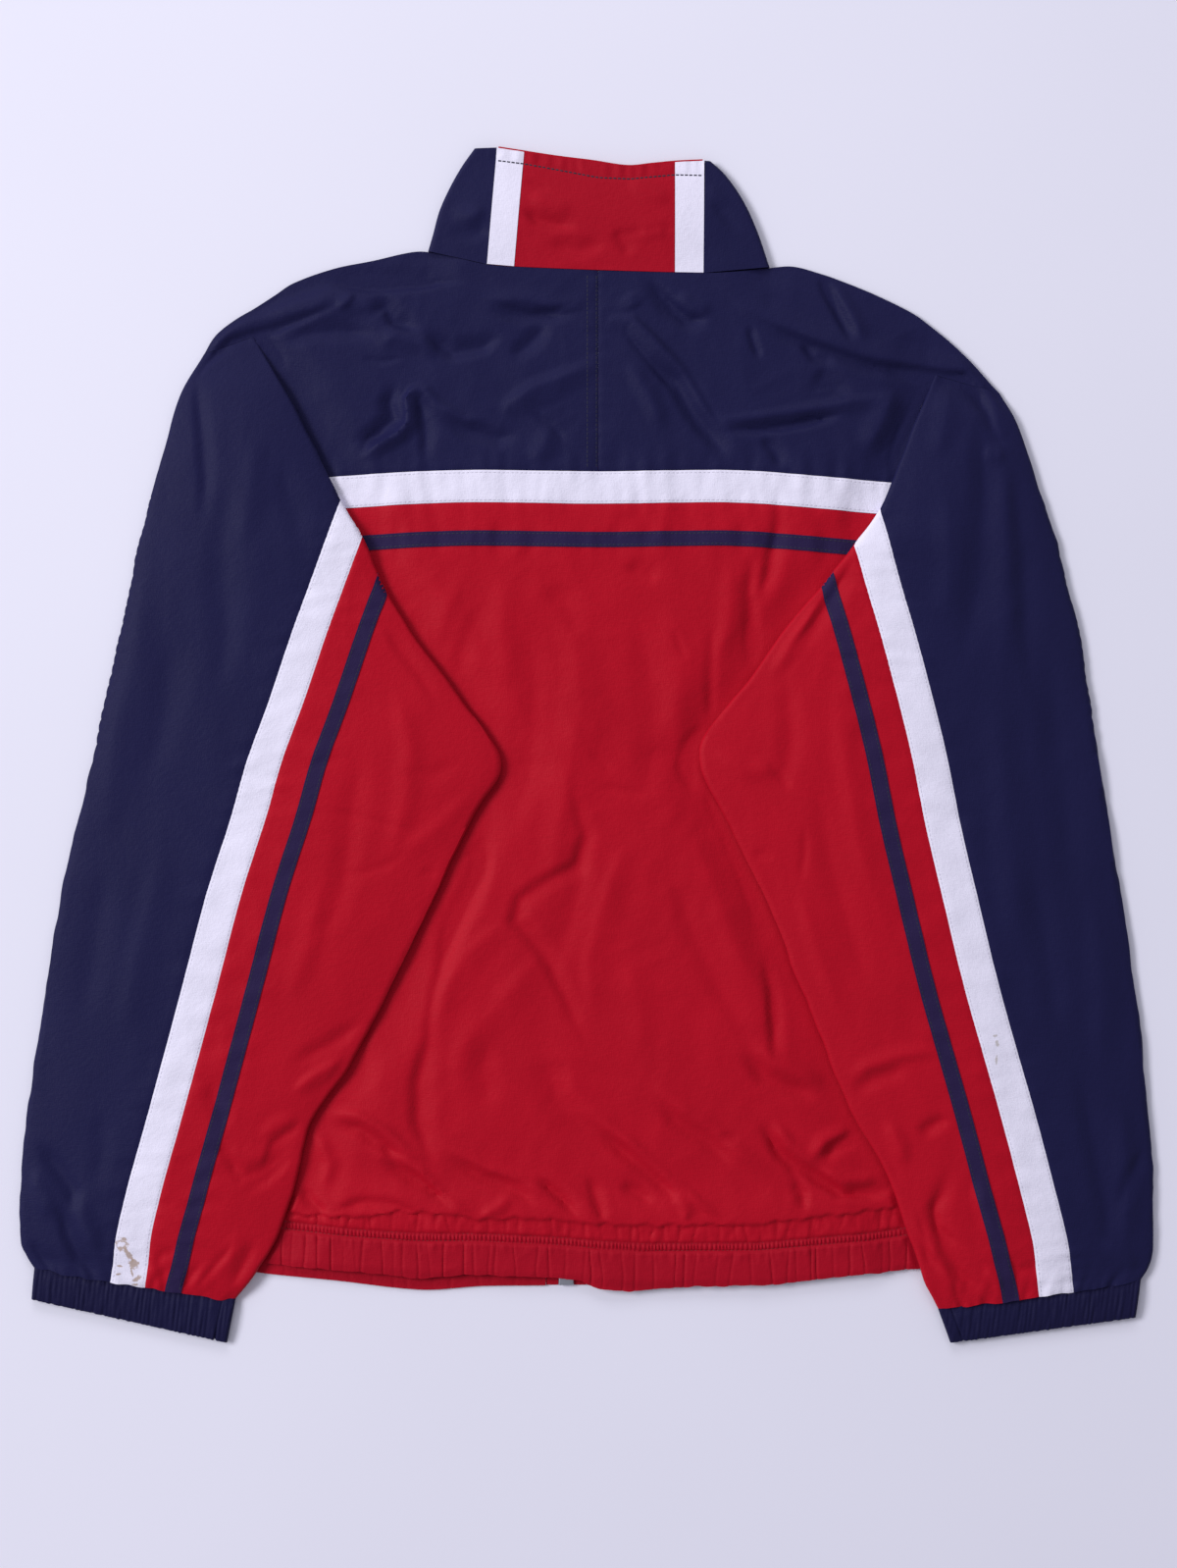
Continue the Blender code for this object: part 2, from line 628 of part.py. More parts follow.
def sleeve_inside(side, sections, cloth):
    """White stripe, red inner sleeve round the inner fold, and the tape sewn down it."""
    last = len(sections) - 1
    start = first_place(sections, STRIPE_ROW, 0.0, STRIPE_TIP)
    grid = []
    for place in [start, *range(UNDER_ROW, last + 1)]:
        cross = Across(sections, place, -SEAM / 2.0 if place == last else 0.0)
        near = cross.stripe + SEAM / 2.0
        far = min(cross.stripe + STRIPE - SEAM / 2.0, cross.width - cross.radius)
        grid += [cross.upper(mix(near, far, share)) for share in (0.0, 0.5, 1.0)]
    middles, normals = [m for m, _ in grid], [n for _, n in grid]
    faces = facing(middles, normals, grid_faces(len(grid) // 3, 3))
    wall("sleeve_stripe_" + side, middles, normals, faces, CLOTH, cloth["white"])

    start = first_place(sections, UNDER_ROW, STRIPE, STRIPE_TIP)
    places = [start, TAPE_START, *range(UNDER_ROW + 1, last + 1)]
    grid, tape = [], []
    for place in places:
        cross = Across(sections, place, -SEAM / 2.0 if place == last else 0.0)
        near = cross.stripe + STRIPE + SEAM / 2.0
        reach = cross.width - cross.radius
        tape_near = min(near + STRIPE_TO_TAPE, reach - TAPE_END_ROOM)
        tape_far = min(near + STRIPE_TO_TAPE + SLEEVE_TAPE, reach - TAPE_END_ROOM / 2.0)
        row = [cross.upper(near), cross.upper(tape_near), cross.upper(tape_far)]
        if place >= TAPE_START:
            tape += row[1:3]
        row += [cross.upper(mix(tape_far, reach, share)) for share in (0.33, 0.67, 1.0)]
        row += [cross.round_fold(angle, True) for angle in FOLD_ANGLES]
        row += [cross.lower(reach, True), cross.lower(reach - cross.lip(), True)]
        grid += row
    middles, normals = [m for m, _ in grid], [n for _, n in grid]
    columns = len(grid) // len(places)
    faces = facing(middles, normals, grid_faces(len(places), columns))
    wall("sleeve_under_" + side, middles, normals, faces, CLOTH, cloth["red"])

    lift = CLOTH / 2.0 + SEAM + TAPE / 2.0
    middles = [m + n * lift for m, n in tape]
    normals = [n for _, n in tape]
    faces = facing(middles, normals, grid_faces(len(tape) // 2, 2))
    wall("sleeve_tape_" + side, middles, normals, faces, TAPE, cloth["navy"])


def cuff(name, seam, edge, cloth):
    """A flattened ring, open at both ends, ribbed where its elastic gathers it."""
    seam_outer, seam_inner = (Vector(point) for point in seam)
    edge_outer, edge_inner = (Vector(point) for point in edge)
    down = (edge_outer - seam_outer).normalized() * (SEAM / 2.0)
    count = round((seam_inner - seam_outer).length / CUFF_RIB)
    grid = []
    for share in (0.0, 0.5, 1.0):
        outer = mix(seam_outer + down, edge_outer, share)
        inner = mix(seam_inner + down, edge_inner, share)
        run = inner - outer
        along = Vector((*run.normalized(), 0.0))
        start = Vector((*outer, CLOTH / 2.0 + CUFF_R)) + along * CUFF_R
        flat = run.length - 2.0 * CUFF_R
        up = Vector((0, 0, 1))
        for step in range(count + 1):
            rib = RIB_DEPTH * (step % 2)
            grid.append((start + along * (flat * step / count) + up * (CUFF_R + rib), up))
        end = start + along * flat
        for angle in FOLD_ANGLES:
            out = along * math.cos(math.radians(angle)) + up * math.sin(math.radians(angle))
            grid.append((end + out * CUFF_R, out))
        for step in range(CUFF_UNDER_STEPS, -1, -1):
            grid.append((start + along * (flat * step / CUFF_UNDER_STEPS) - up * CUFF_R, -up))
        for angle in reversed(FOLD_ANGLES):
            out = -along * math.cos(math.radians(angle)) + up * math.sin(math.radians(angle))
            grid.append((start + out * CUFF_R, out))
    middles, normals = [m for m, _ in grid], [n for _, n in grid]
    faces = facing(middles, normals, grid_faces(3, len(grid) // 3, ring=True))
    wall(name, middles, normals, faces, CLOTH, cloth["navy"])


def collar_side(name, rows, side, cloth):
    """Collar side: from the strip round the folded edge, then flat under the back to the zip."""
    radius = COLLAR_REST / 2.0
    grid = []
    for number, row in enumerate(rows):
        fold = Vector((row.fold_x, row.fold_y))
        seam = Vector((row.seam_x, row.seam_y))
        shift = Vector((0, SEAM / 2.0 if number == 0 else 0.0))
        fold, seam = fold + shift, seam + shift
        run = seam - fold
        along = Vector((*run.normalized(), 0.0))
        reach = run.length - SEAM / 2.0
        turn = min(radius, reach / 2.0)
        start = Vector((*fold, CLOTH / 2.0 + radius))
        up = Vector((0, 0, 1))
        for share in (1.0, 0.5, 0.0):
            grid.append((start + along * mix(turn, reach, share) + up * radius, up))
        for angle in FOLD_ANGLES:
            out = math.cos(math.radians(angle))
            rise = math.sin(math.radians(angle))
            middle = start + along * turn * (1.0 - out) + up * (radius * rise)
            grid.append((middle, (up * rise - along * out).normalized()))
        zip_edge = zip_x(row.zip_y) + side * (ZIP_HALF + SEAM / 2.0)
        low = start + along * turn - up * radius
        high = Vector((zip_edge, row.zip_y + shift.y, CLOTH / 2.0))
        for share in (0.0, 0.5, 1.0):
            grid.append((mix(low, high, share), -up))
    middles, normals = [m for m, _ in grid], [n for _, n in grid]
    faces = facing(middles, normals, grid_faces(len(rows), len(grid) // len(rows)))
    wall(name, middles, normals, faces, CLOTH, cloth["navy"])


def collar(cloth):
    """Stand collar, folded flat at its sides: five outer pieces and the lining behind them."""
    def rest(x, y):
        return COLLAR_REST

    def lining(x, y):
        return LINING_REST

    names = ("collar_strip_left", "collar_back", "collar_strip_right")
    finishes = ("white", "red", "white")
    for name, finish, start, end in zip(names, finishes, COLLAR_SEAMS, COLLAR_SEAMS[1:]):
        outline = cut(NECK_SEAM, start[0], end[0]) + cut(COLLAR_TOP, end[1], start[1])
        flat_piece(name, outline, rest, cloth[finish])
    collar_side("collar_side_left", LEFT_COLLAR, -1, cloth)
    collar_side("collar_side_right", RIGHT_COLLAR, 1, cloth)
    first, last = COLLAR_SEAMS[0], COLLAR_SEAMS[-1]
    outline = cut(NECK_SEAM, first[0], last[0])
    outline += cut(COLLAR_TOP, last[1] - 1.0, first[1] + 1.0, -LINING_SHOWS)
    flat_piece("collar_lining", outline, lining, cloth["red"])


def block(name, low_y, high_y, near, far, top, finish):
    """A bar along the zip's line, from near to far across it."""
    plan = []
    for y, across in ((low_y, near), (low_y, far), (high_y, far), (high_y, near)):
        plan.append((zip_x(y) + across, y))
    middles = [Vector((x, y, top / 2.0)) for x, y in plan]
    normals = [Vector((0, 0, 1))] * 4
    wall(name, middles, normals, [[0, 1, 2, 3]], top, finish)


def zip_fastener(cloth):
    """A closed zip between the fronts, with its box under the hem and its slider at the collar."""
    tape_low, tape_high = ZIP_LOW[1] - ZIP_OVERHANG, ZIP_HIGH[1]
    slider_low, slider_high = SLIDER_SPAN
    near, far = CHAIN_HALF + SEAM, ZIP_HALF - SEAM / 2.0
    block("zip_tape_left", tape_low, tape_high, -far, -near, CLOTH, cloth["red"])
    block("zip_tape_right", tape_low, tape_high, near, far, CLOTH, cloth["red"])
    box_high = tape_low + BOX_LENGTH
    across = (-CHAIN_HALF, CHAIN_HALF)
    block("zip_box", tape_low, box_high, *across, SLIDER_HEIGHT, cloth["metal"])
    block("zip_teeth", box_high + SEAM, slider_low - SEAM, *across, TEETH_HEIGHT, cloth["metal"])
    block("zip_slider", slider_low, slider_high, *across, SLIDER_HEIGHT, cloth["metal"])


def main():
    clear_scene()
    cloth = {
        "navy": material("navy_nylon", NAVY, 0.55),
        "red": material("red_nylon", RED, 0.55),
        "white": material("white_nylon", WHITE, 0.6),
        "metal": material("zip_metal", METAL, 0.35, 1.0),
    }
    body(cloth)
    hem_back(cloth)
    for side, sections in (("left", LEFT_SLEEVE), ("right", RIGHT_SLEEVE)):
        sleeve_top("sleeve_top_" + side, sections, cloth)
        sleeve_inside(side, sections, cloth)
        last = sections[-1]
        seam = ((last.outer_x, last.outer_y), (last.fold_x, last.fold_y))
        edge = LEFT_CUFF_EDGE if side == "left" else RIGHT_CUFF_EDGE
        cuff("cuff_" + side, seam, edge, cloth)
    collar(cloth)
    zip_fastener(cloth)


main()
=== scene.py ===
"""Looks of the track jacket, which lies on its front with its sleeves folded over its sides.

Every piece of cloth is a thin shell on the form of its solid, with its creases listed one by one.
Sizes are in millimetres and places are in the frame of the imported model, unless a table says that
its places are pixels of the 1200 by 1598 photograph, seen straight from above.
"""

import math
from collections import namedtuple

import bpy
import numpy as np
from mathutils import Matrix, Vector, noise
from mathutils.geometry import delaunay_2d_cdt


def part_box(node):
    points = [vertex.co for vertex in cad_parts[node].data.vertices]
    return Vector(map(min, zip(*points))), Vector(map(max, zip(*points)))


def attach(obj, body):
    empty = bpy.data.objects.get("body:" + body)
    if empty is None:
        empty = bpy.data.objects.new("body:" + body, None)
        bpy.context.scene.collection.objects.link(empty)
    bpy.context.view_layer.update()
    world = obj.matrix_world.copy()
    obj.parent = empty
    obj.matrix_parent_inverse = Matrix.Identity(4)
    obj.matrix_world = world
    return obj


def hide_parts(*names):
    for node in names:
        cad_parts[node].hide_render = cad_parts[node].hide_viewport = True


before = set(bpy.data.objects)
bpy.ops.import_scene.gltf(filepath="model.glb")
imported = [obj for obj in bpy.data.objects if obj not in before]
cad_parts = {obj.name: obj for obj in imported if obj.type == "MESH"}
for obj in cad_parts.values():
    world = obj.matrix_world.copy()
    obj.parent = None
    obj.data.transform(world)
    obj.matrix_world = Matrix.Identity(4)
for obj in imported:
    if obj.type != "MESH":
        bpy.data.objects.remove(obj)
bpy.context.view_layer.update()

MM = 0.001
PHOTO_MM = 0.68
PHOTO_CENTRE = (598.0, 759.0)
PHOTO_SIZE = (1200, 1598)

# Thickness of the solids' walls and of the shells, and how far a tape lies over its cloth
CLOTH = 1.2
SHELL = 0.5
TAPE_LIFT = SHELL + 0.1
# Shading is smooth over edges that turn less than this
RIM_ANGLE = math.radians(50)

# The back's height, as in the solids: low under the sleeves and at the shoulders
BACK_REST = 1.6
BACK_LOFT = 3.4
LOFT_MARGIN = 7.0
LOFT_RISE = 34.0
# Middles of cloth on the floor, and how much a sleeve rises where it lies on the body
FLOOR_MIDDLE = 0.35
SLEEVE_REST = 3.4
# Below this height the sleeves cover the back's sides, and this far above the hem it is gathered
ARMHOLE_Y = 240.0
HEM_REACH = 60.0
# Creases fade out this near to an edge
CREASE_EDGE = 5.0
BACK_CRUMPLE = 0.6
SLEEVE_CRUMPLE = 0.45

# Widths round the sleeve, and how far the cuff draws the tape to the stripe
STRIPE = 24.3
STRIPE_TO_TAPE = 20.0
SLEEVE_TAPE = 11.5
CUFF_DRAW = 6.0
# How far the cloth of the upper side runs on beneath the inner fold, and from which row
LIP = 4.0
LIP_ROW = 3.0
# Where and over what distance the underside climbs onto the body
RAMP_START = 2.0
RAMP = 18.0
# Radii of the sleeve's folds at the shoulder and below, and its fullness
SHOULDER_FOLD_R = 0.8
FOLD_R = 2.0
SLEEVE_PUFF = 2.2
SLEEVE_STEP = 3.0
# How far the fold is widened at the shoulder, up to the yoke's edge beside it
SHOULDER_CLOSE = 2.4
# How far the full end of the sleeve hangs over the cuff
OVERHANG = 3.0
# Least distance between the middles of a sleeve's two layers, where a crease sinks
LAYER_GAP = 0.9

# Distances between points in the back panel, small pieces, hidden pieces and gathers
PANEL_PITCH = 2.75
SMALL_PITCH = 2.0
HIDDEN_PITCH = 5.0
FINE_PITCH = 1.5
HEM_COLUMN = 0.8
# Least room between an outline and the first points inside it, in pitches
EDGE_ROOM = 0.6
# Outlines are rounded at corners that turn less than this, with no tangent pulled longer
CORNER = math.radians(28)
LONGEST_PULL = 1.6

SHOULDER_LEFT = (
    (-265, 270), (-257, 283), (-243.5, 294), (-230, 302), (-216, 311), (-203, 319.5),
    (-175, 329.5), (-148, 335), (-121, 341), (-109.5, 341),
)
SHOULDER_RIGHT = (
    (126.5, 330), (143, 331), (162, 326), (171, 323), (198.5, 312), (226, 298.5), (239, 289),
    (253, 277.5), (266.5, 264.5), (280, 249.5), (286, 243),
)
NECK = (-109.5, 126.5)
FURROWED = (-236.0, 244.0)
HEM_LINE = (
    (-240, -328), (-211, -332), (-159, -340), (-107, -342), (-55, -343.5), (0, -346),
    (80, -345), (131, -343.5), (184, -340), (222, -336), (247, -332),
)
YOKE_LINE = (
    (-209, 183), (-176, 185.5), (-114, 189), (-73, 190), (8, 189), (90, 190), (120, 189),
    (151, 186.5), (211, 181.5), (230, 180),
)
# The upper of the two rows of stitches over the casing, and how far above it the panel hangs over
HEM_ROWS = (
    (-240, -325.5), (-205, -330.5), (-159, -335.2), (-118, -337.8), (-74, -337.9), (-23, -340.3),
    (10, -343.2), (37, -344.8), (118, -344.4), (200, -337.3), (247, -331),
)
HEM_CREST = (
    (-205, 5.4), (-159, 8), (-129, 14), (-90, 12.7), (-74, 9.3), (-40, 11.8), (10, 11.3), (37, 12.2),
    (118, 12.2), (160, 14), (200, 14.8),
)
HEM_EDGE = (
    (-240, -357), (-211, -360), (-150, -365), (-115, -369), (-80, -366), (-29, -368),
    (-12, -369), (-4, -371), (8, -376), (29, -378), (60, -375), (131, -373),
    (171, -368), (212, -364), (247, -361),
)
# Width of the white band, and the edges of the tape, down from the yoke's seam
BAND = 22.5
TAPE_DROP = (42.0, 52.5)
TAPE_MIDDLE = 47.0
# The hem's two rows of stitches, and the size of the stitches themselves
STITCH_ROWS = 5.0
STITCH_LIFT = 0.3
STITCH_RISE = 0.28
STITCH = 2.2
STITCH_GAP = 0.9
# How far stitches lie from the edges of stripes and of tapes, and the step of their paths
INSET = 1.8
TAPE_INSET = 1.6
PATH_STEP = 2.0
# The panel's lower edge over the upper row
ROW_MARGIN = 0.6
CENTRE_BACK = 8.0


def columns(kind, rows):
    """A table of sections with each of its columns by name."""
    return kind(*np.array(rows, float).T)


# Sections of each sleeve, from the shoulder to the cuff, as in the solids
Section = namedtuple("Section", "outer_x outer_y side_x stripe_x fold_x fold_y over puff")
LEFT_SLEEVE = columns(Section, (
    (-265, 270, -233, -132, -233, 281.5, 0, 0),
    (-281, 242, -209, -144, -209, 242, 1, 1),
    (-291, 210, -209, -155, -190, 210, 1, 2),
    (-302, 169, -209, -170, -170, 169, 1, 2.5),
    (-309, 142, -216, -179.5, -154, 142, 1.6, 2.5),
    (-316, 108, -234, -192, -140, 108, 1, 2.5),
    (-323, 77.5, -252, -203, -121, 77.5, 1, 2.5),
    (-333.5, 30, -270, -219, -86, 30, 1, 2.5),
    (-343, -14, -272, -235, -59, -14, 1, 2.5),
    (-351, -48, -271, -244.5, -78, -48, 1, 2.5),
    (-363, -103, -268, -262, -104, -103, 1, 2.5),
    (-373.5, -164, -262, -278, -134, -164, 1, 2.5),
    (-382, -220, -256, -293, -163, -220, 1, 2.5),
    (-388, -264, -250, -305, -192, -264, 1, 2.5),
    (-392, -307, -244, -317, -202, -307, 1, 2.5),
    (-392, -342, -240, -325, -215, -342, 1, 2),
    (-388, -353, -237, -327, -231, -368, 1, 1),
    (-382, -362, -260, -329, -243, -383, 0, 0.5),
))
RIGHT_SLEEVE = columns(Section, (
    (286, 243, 244, 166, 244, 255, 0, 0),
    (297, 224, 230, 179, 230, 224, 1, 1),
    (307, 196.5, 230, 190, 217, 196.5, 1, 2),
    (318, 162.5, 230, 203, 203, 162.5, 1, 2.5),
    (326, 139, 236, 209, 186, 139, 1.6, 2.5),
    (333, 108, 250, 217.5, 161, 108, 1, 2.5),
    (341, 77.5, 264, 226.5, 135, 77.5, 1, 2.5),
    (345.5, 46, 277, 235, 114, 46, 1, 2.5),
    (354, -6, 284, 248, 78, -6, 1, 2.5),
    (362, -56, 284, 258, 98.5, -56, 1, 2.5),
    (370, -103, 281, 269, 122, -103, 1, 2.5),
    (379, -167, 275, 284.5, 148, -167, 1, 2.5),
    (385, -215, 268, 298, 167, -215, 1, 2.5),
    (388, -250, 262, 308, 181, -250, 1, 2.5),
    (392, -299, 254, 321, 209, -299, 1, 2.5),
    (392, -346, 247, 332.5, 225, -346, 1, 2),
    (389, -361, 244, 335, 234, -371, 1, 1),
    (383.5, -370, 262, 336.5, 243.5, -390, 0, 0.5),
))
LEFT_CUFF_EDGE = ((-384, -383.5), (-249, -413.5))
RIGHT_CUFF_EDGE = ((380, -396), (252, -413.5))
CUFF_R = 2.0
CUFF_LENGTH = 24.0
RIB_PITCH = 3.3

# Sections of the collar's sides, from the neck seam up, as in the solids
CollarRow = namedtuple("CollarRow", "fold_x fold_y seam_x seam_y zip_y")
LEFT_COLLAR = columns(CollarRow, (
    (-109.5, 341, -69, 332, 300),
    (-106, 353, -67.6, 348, 317),
    (-102, 368, -66.2, 364, 334),
    (-94, 386, -64.8, 380, 351),
    (-86, 400, -63.4, 396, 368),
    (-77.5, 412, -62, 412.5, 385),
))
RIGHT_COLLAR = columns(CollarRow, (
    (126.5, 330, 81, 326, 300),
    (118, 355, 81.1, 343, 317),
    (110, 373, 81.2, 360, 334),
    (102, 386, 81.3, 375, 351),
    (94, 396, 81.4, 390, 368),
    (86, 403, 81.5, 403.5, 385),
))
COLLAR_REST = 5.0
COLLAR_PUFF = 2.0
COLLAR_ROW = 16.0
COLLAR_STITCHES = (
    (-62, 403.5), (-42.5, 401), (-18, 396.5), (8, 391.5), (31, 390.5), (45, 392), (61, 393.5),
    (80.5, 393),
)
ZIP_LOW = (-14.0, -366.0)
ZIP_HIGH = (6.0, 386.0)
ZIP_HALF = 14.0
TOOTH_PITCH = 2.6
TOOTH = (2.6, 0.95, 1.9)
FLOOR_HALF = 9000.0
FLOOR_GAP = 0.4
CAMERA_HEIGHT = 1.9

# Creases: half width and height in millimetres, lean from -1 to 1 where one flank is the steeper,
# then x and y of each place on the path in the photograph's pixels. A height below zero is a trough.
YOKE_FOLDS = (
    (13, 2.1, 0.2, 300, 322, 330, 314, 360, 311, 392, 316),
    (10, -2.7, 0, 290, 350, 310, 342, 345, 338, 384, 342),
    (11, -2.7, 0.3, 333, 289, 376, 292, 434, 289, 470, 283),
    (6, 1.8, 0.2, 346, 316, 357, 306, 358, 298),
    (9, -3, 0.3, 376, 320, 394, 315, 402, 329, 428, 338),
    (10, 2.1, 0, 384, 356, 402, 345, 432, 352, 446, 368),
    (10, -3.3, 0.2, 432, 339, 462, 361, 492, 355, 512, 341),
    (6.5, 3.7, 0.5, 434, 391, 420, 398, 414, 408, 416, 420, 416, 431, 406, 443, 387, 454, 368, 469),
    (9, -3.6, -0.2, 404, 392, 398, 412, 402, 428, 384, 444, 362, 452),
    (8, 2.3, -0.3, 414, 401, 434, 399, 446, 412, 474, 428, 498, 430),
    (10, -3, 0, 452, 424, 478, 440, 508, 448, 530, 444),
    (12, 2.8, 0.3, 609, 371, 575, 385, 544, 397, 520, 413, 512, 430),
    (9, 1.8, 0.3, 492, 305, 541, 307, 572, 316, 600, 312),
    (8, -2.7, 0, 498, 317, 532, 324, 563, 323, 590, 318),
    (10, -2.4, 0, 560, 330, 540, 352, 520, 366),
    (12, 1.6, 0, 560, 436, 556, 456, 540, 474),
    (8, -2.1, 0.2, 428, 400, 434, 436, 434, 474),
    (9, 3, -0.4, 617, 340, 626, 326, 645, 327, 664, 345, 695, 380, 718, 418, 740, 452),
    (12, -4.5, 0.2, 662, 365, 690, 392, 708, 424, 730, 452, 740, 470),
    (10, 2.1, 0, 640, 370, 662, 404, 676, 440),
    (9, -3.3, -0.2, 660, 286, 683, 314, 701, 327, 722, 331),
    (8, 1.8, 0, 690, 300, 706, 312, 726, 318),
    (7, -2.7, 0.3, 834, 283, 852, 318, 869, 352),
    (7, 1.7, 0.3, 846, 286, 864, 318, 882, 352),
    (5, -2.1, 0, 763, 332, 768, 350, 775, 368),
    (6, -2.4, 0, 816, 350, 830, 366, 852, 372),
    (9, 2.8, -0.3, 728, 430, 771, 427, 814, 421, 863, 411, 910, 406),
    (9, -3.9, 0.3, 736, 440, 776, 437, 816, 432, 858, 424),
    (8, -2.4, 0.2, 776, 446, 790, 462, 797, 480),
    (9, -4.5, 0, 950, 390, 938, 418, 922, 450, 908, 482),
    (14, 3.2, 0, 912, 396, 900, 428, 880, 464),
    (13, 1.4, 0, 640, 300, 648, 316),
    (14, -2.1, 0, 830, 380, 850, 396, 846, 404),
    (7, -2.2, 0, 266, 340, 274, 350, 282, 362, 290, 378),
    (4, -1.5, 0, 634, 334, 646, 350, 664, 372, 688, 400),
    (4.5, -1.6, 0, 678, 300, 686, 316, 698, 326, 722, 326),
    (4, -1.4, 0, 770, 440, 800, 436, 832, 428, 862, 422),
    (4, -1.5, 0, 504, 310, 540, 322, 566, 318, 588, 310),
    (4, -1.3, 0, 342, 292, 390, 296, 440, 291, 480, 286),
    (4, -1.2, 0, 366, 462, 378, 448, 396, 440),
    (4, -1.1, 0, 368, 366, 388, 370, 412, 366),
    (4.5, -1.2, 0, 540, 420, 562, 434, 578, 452),
)
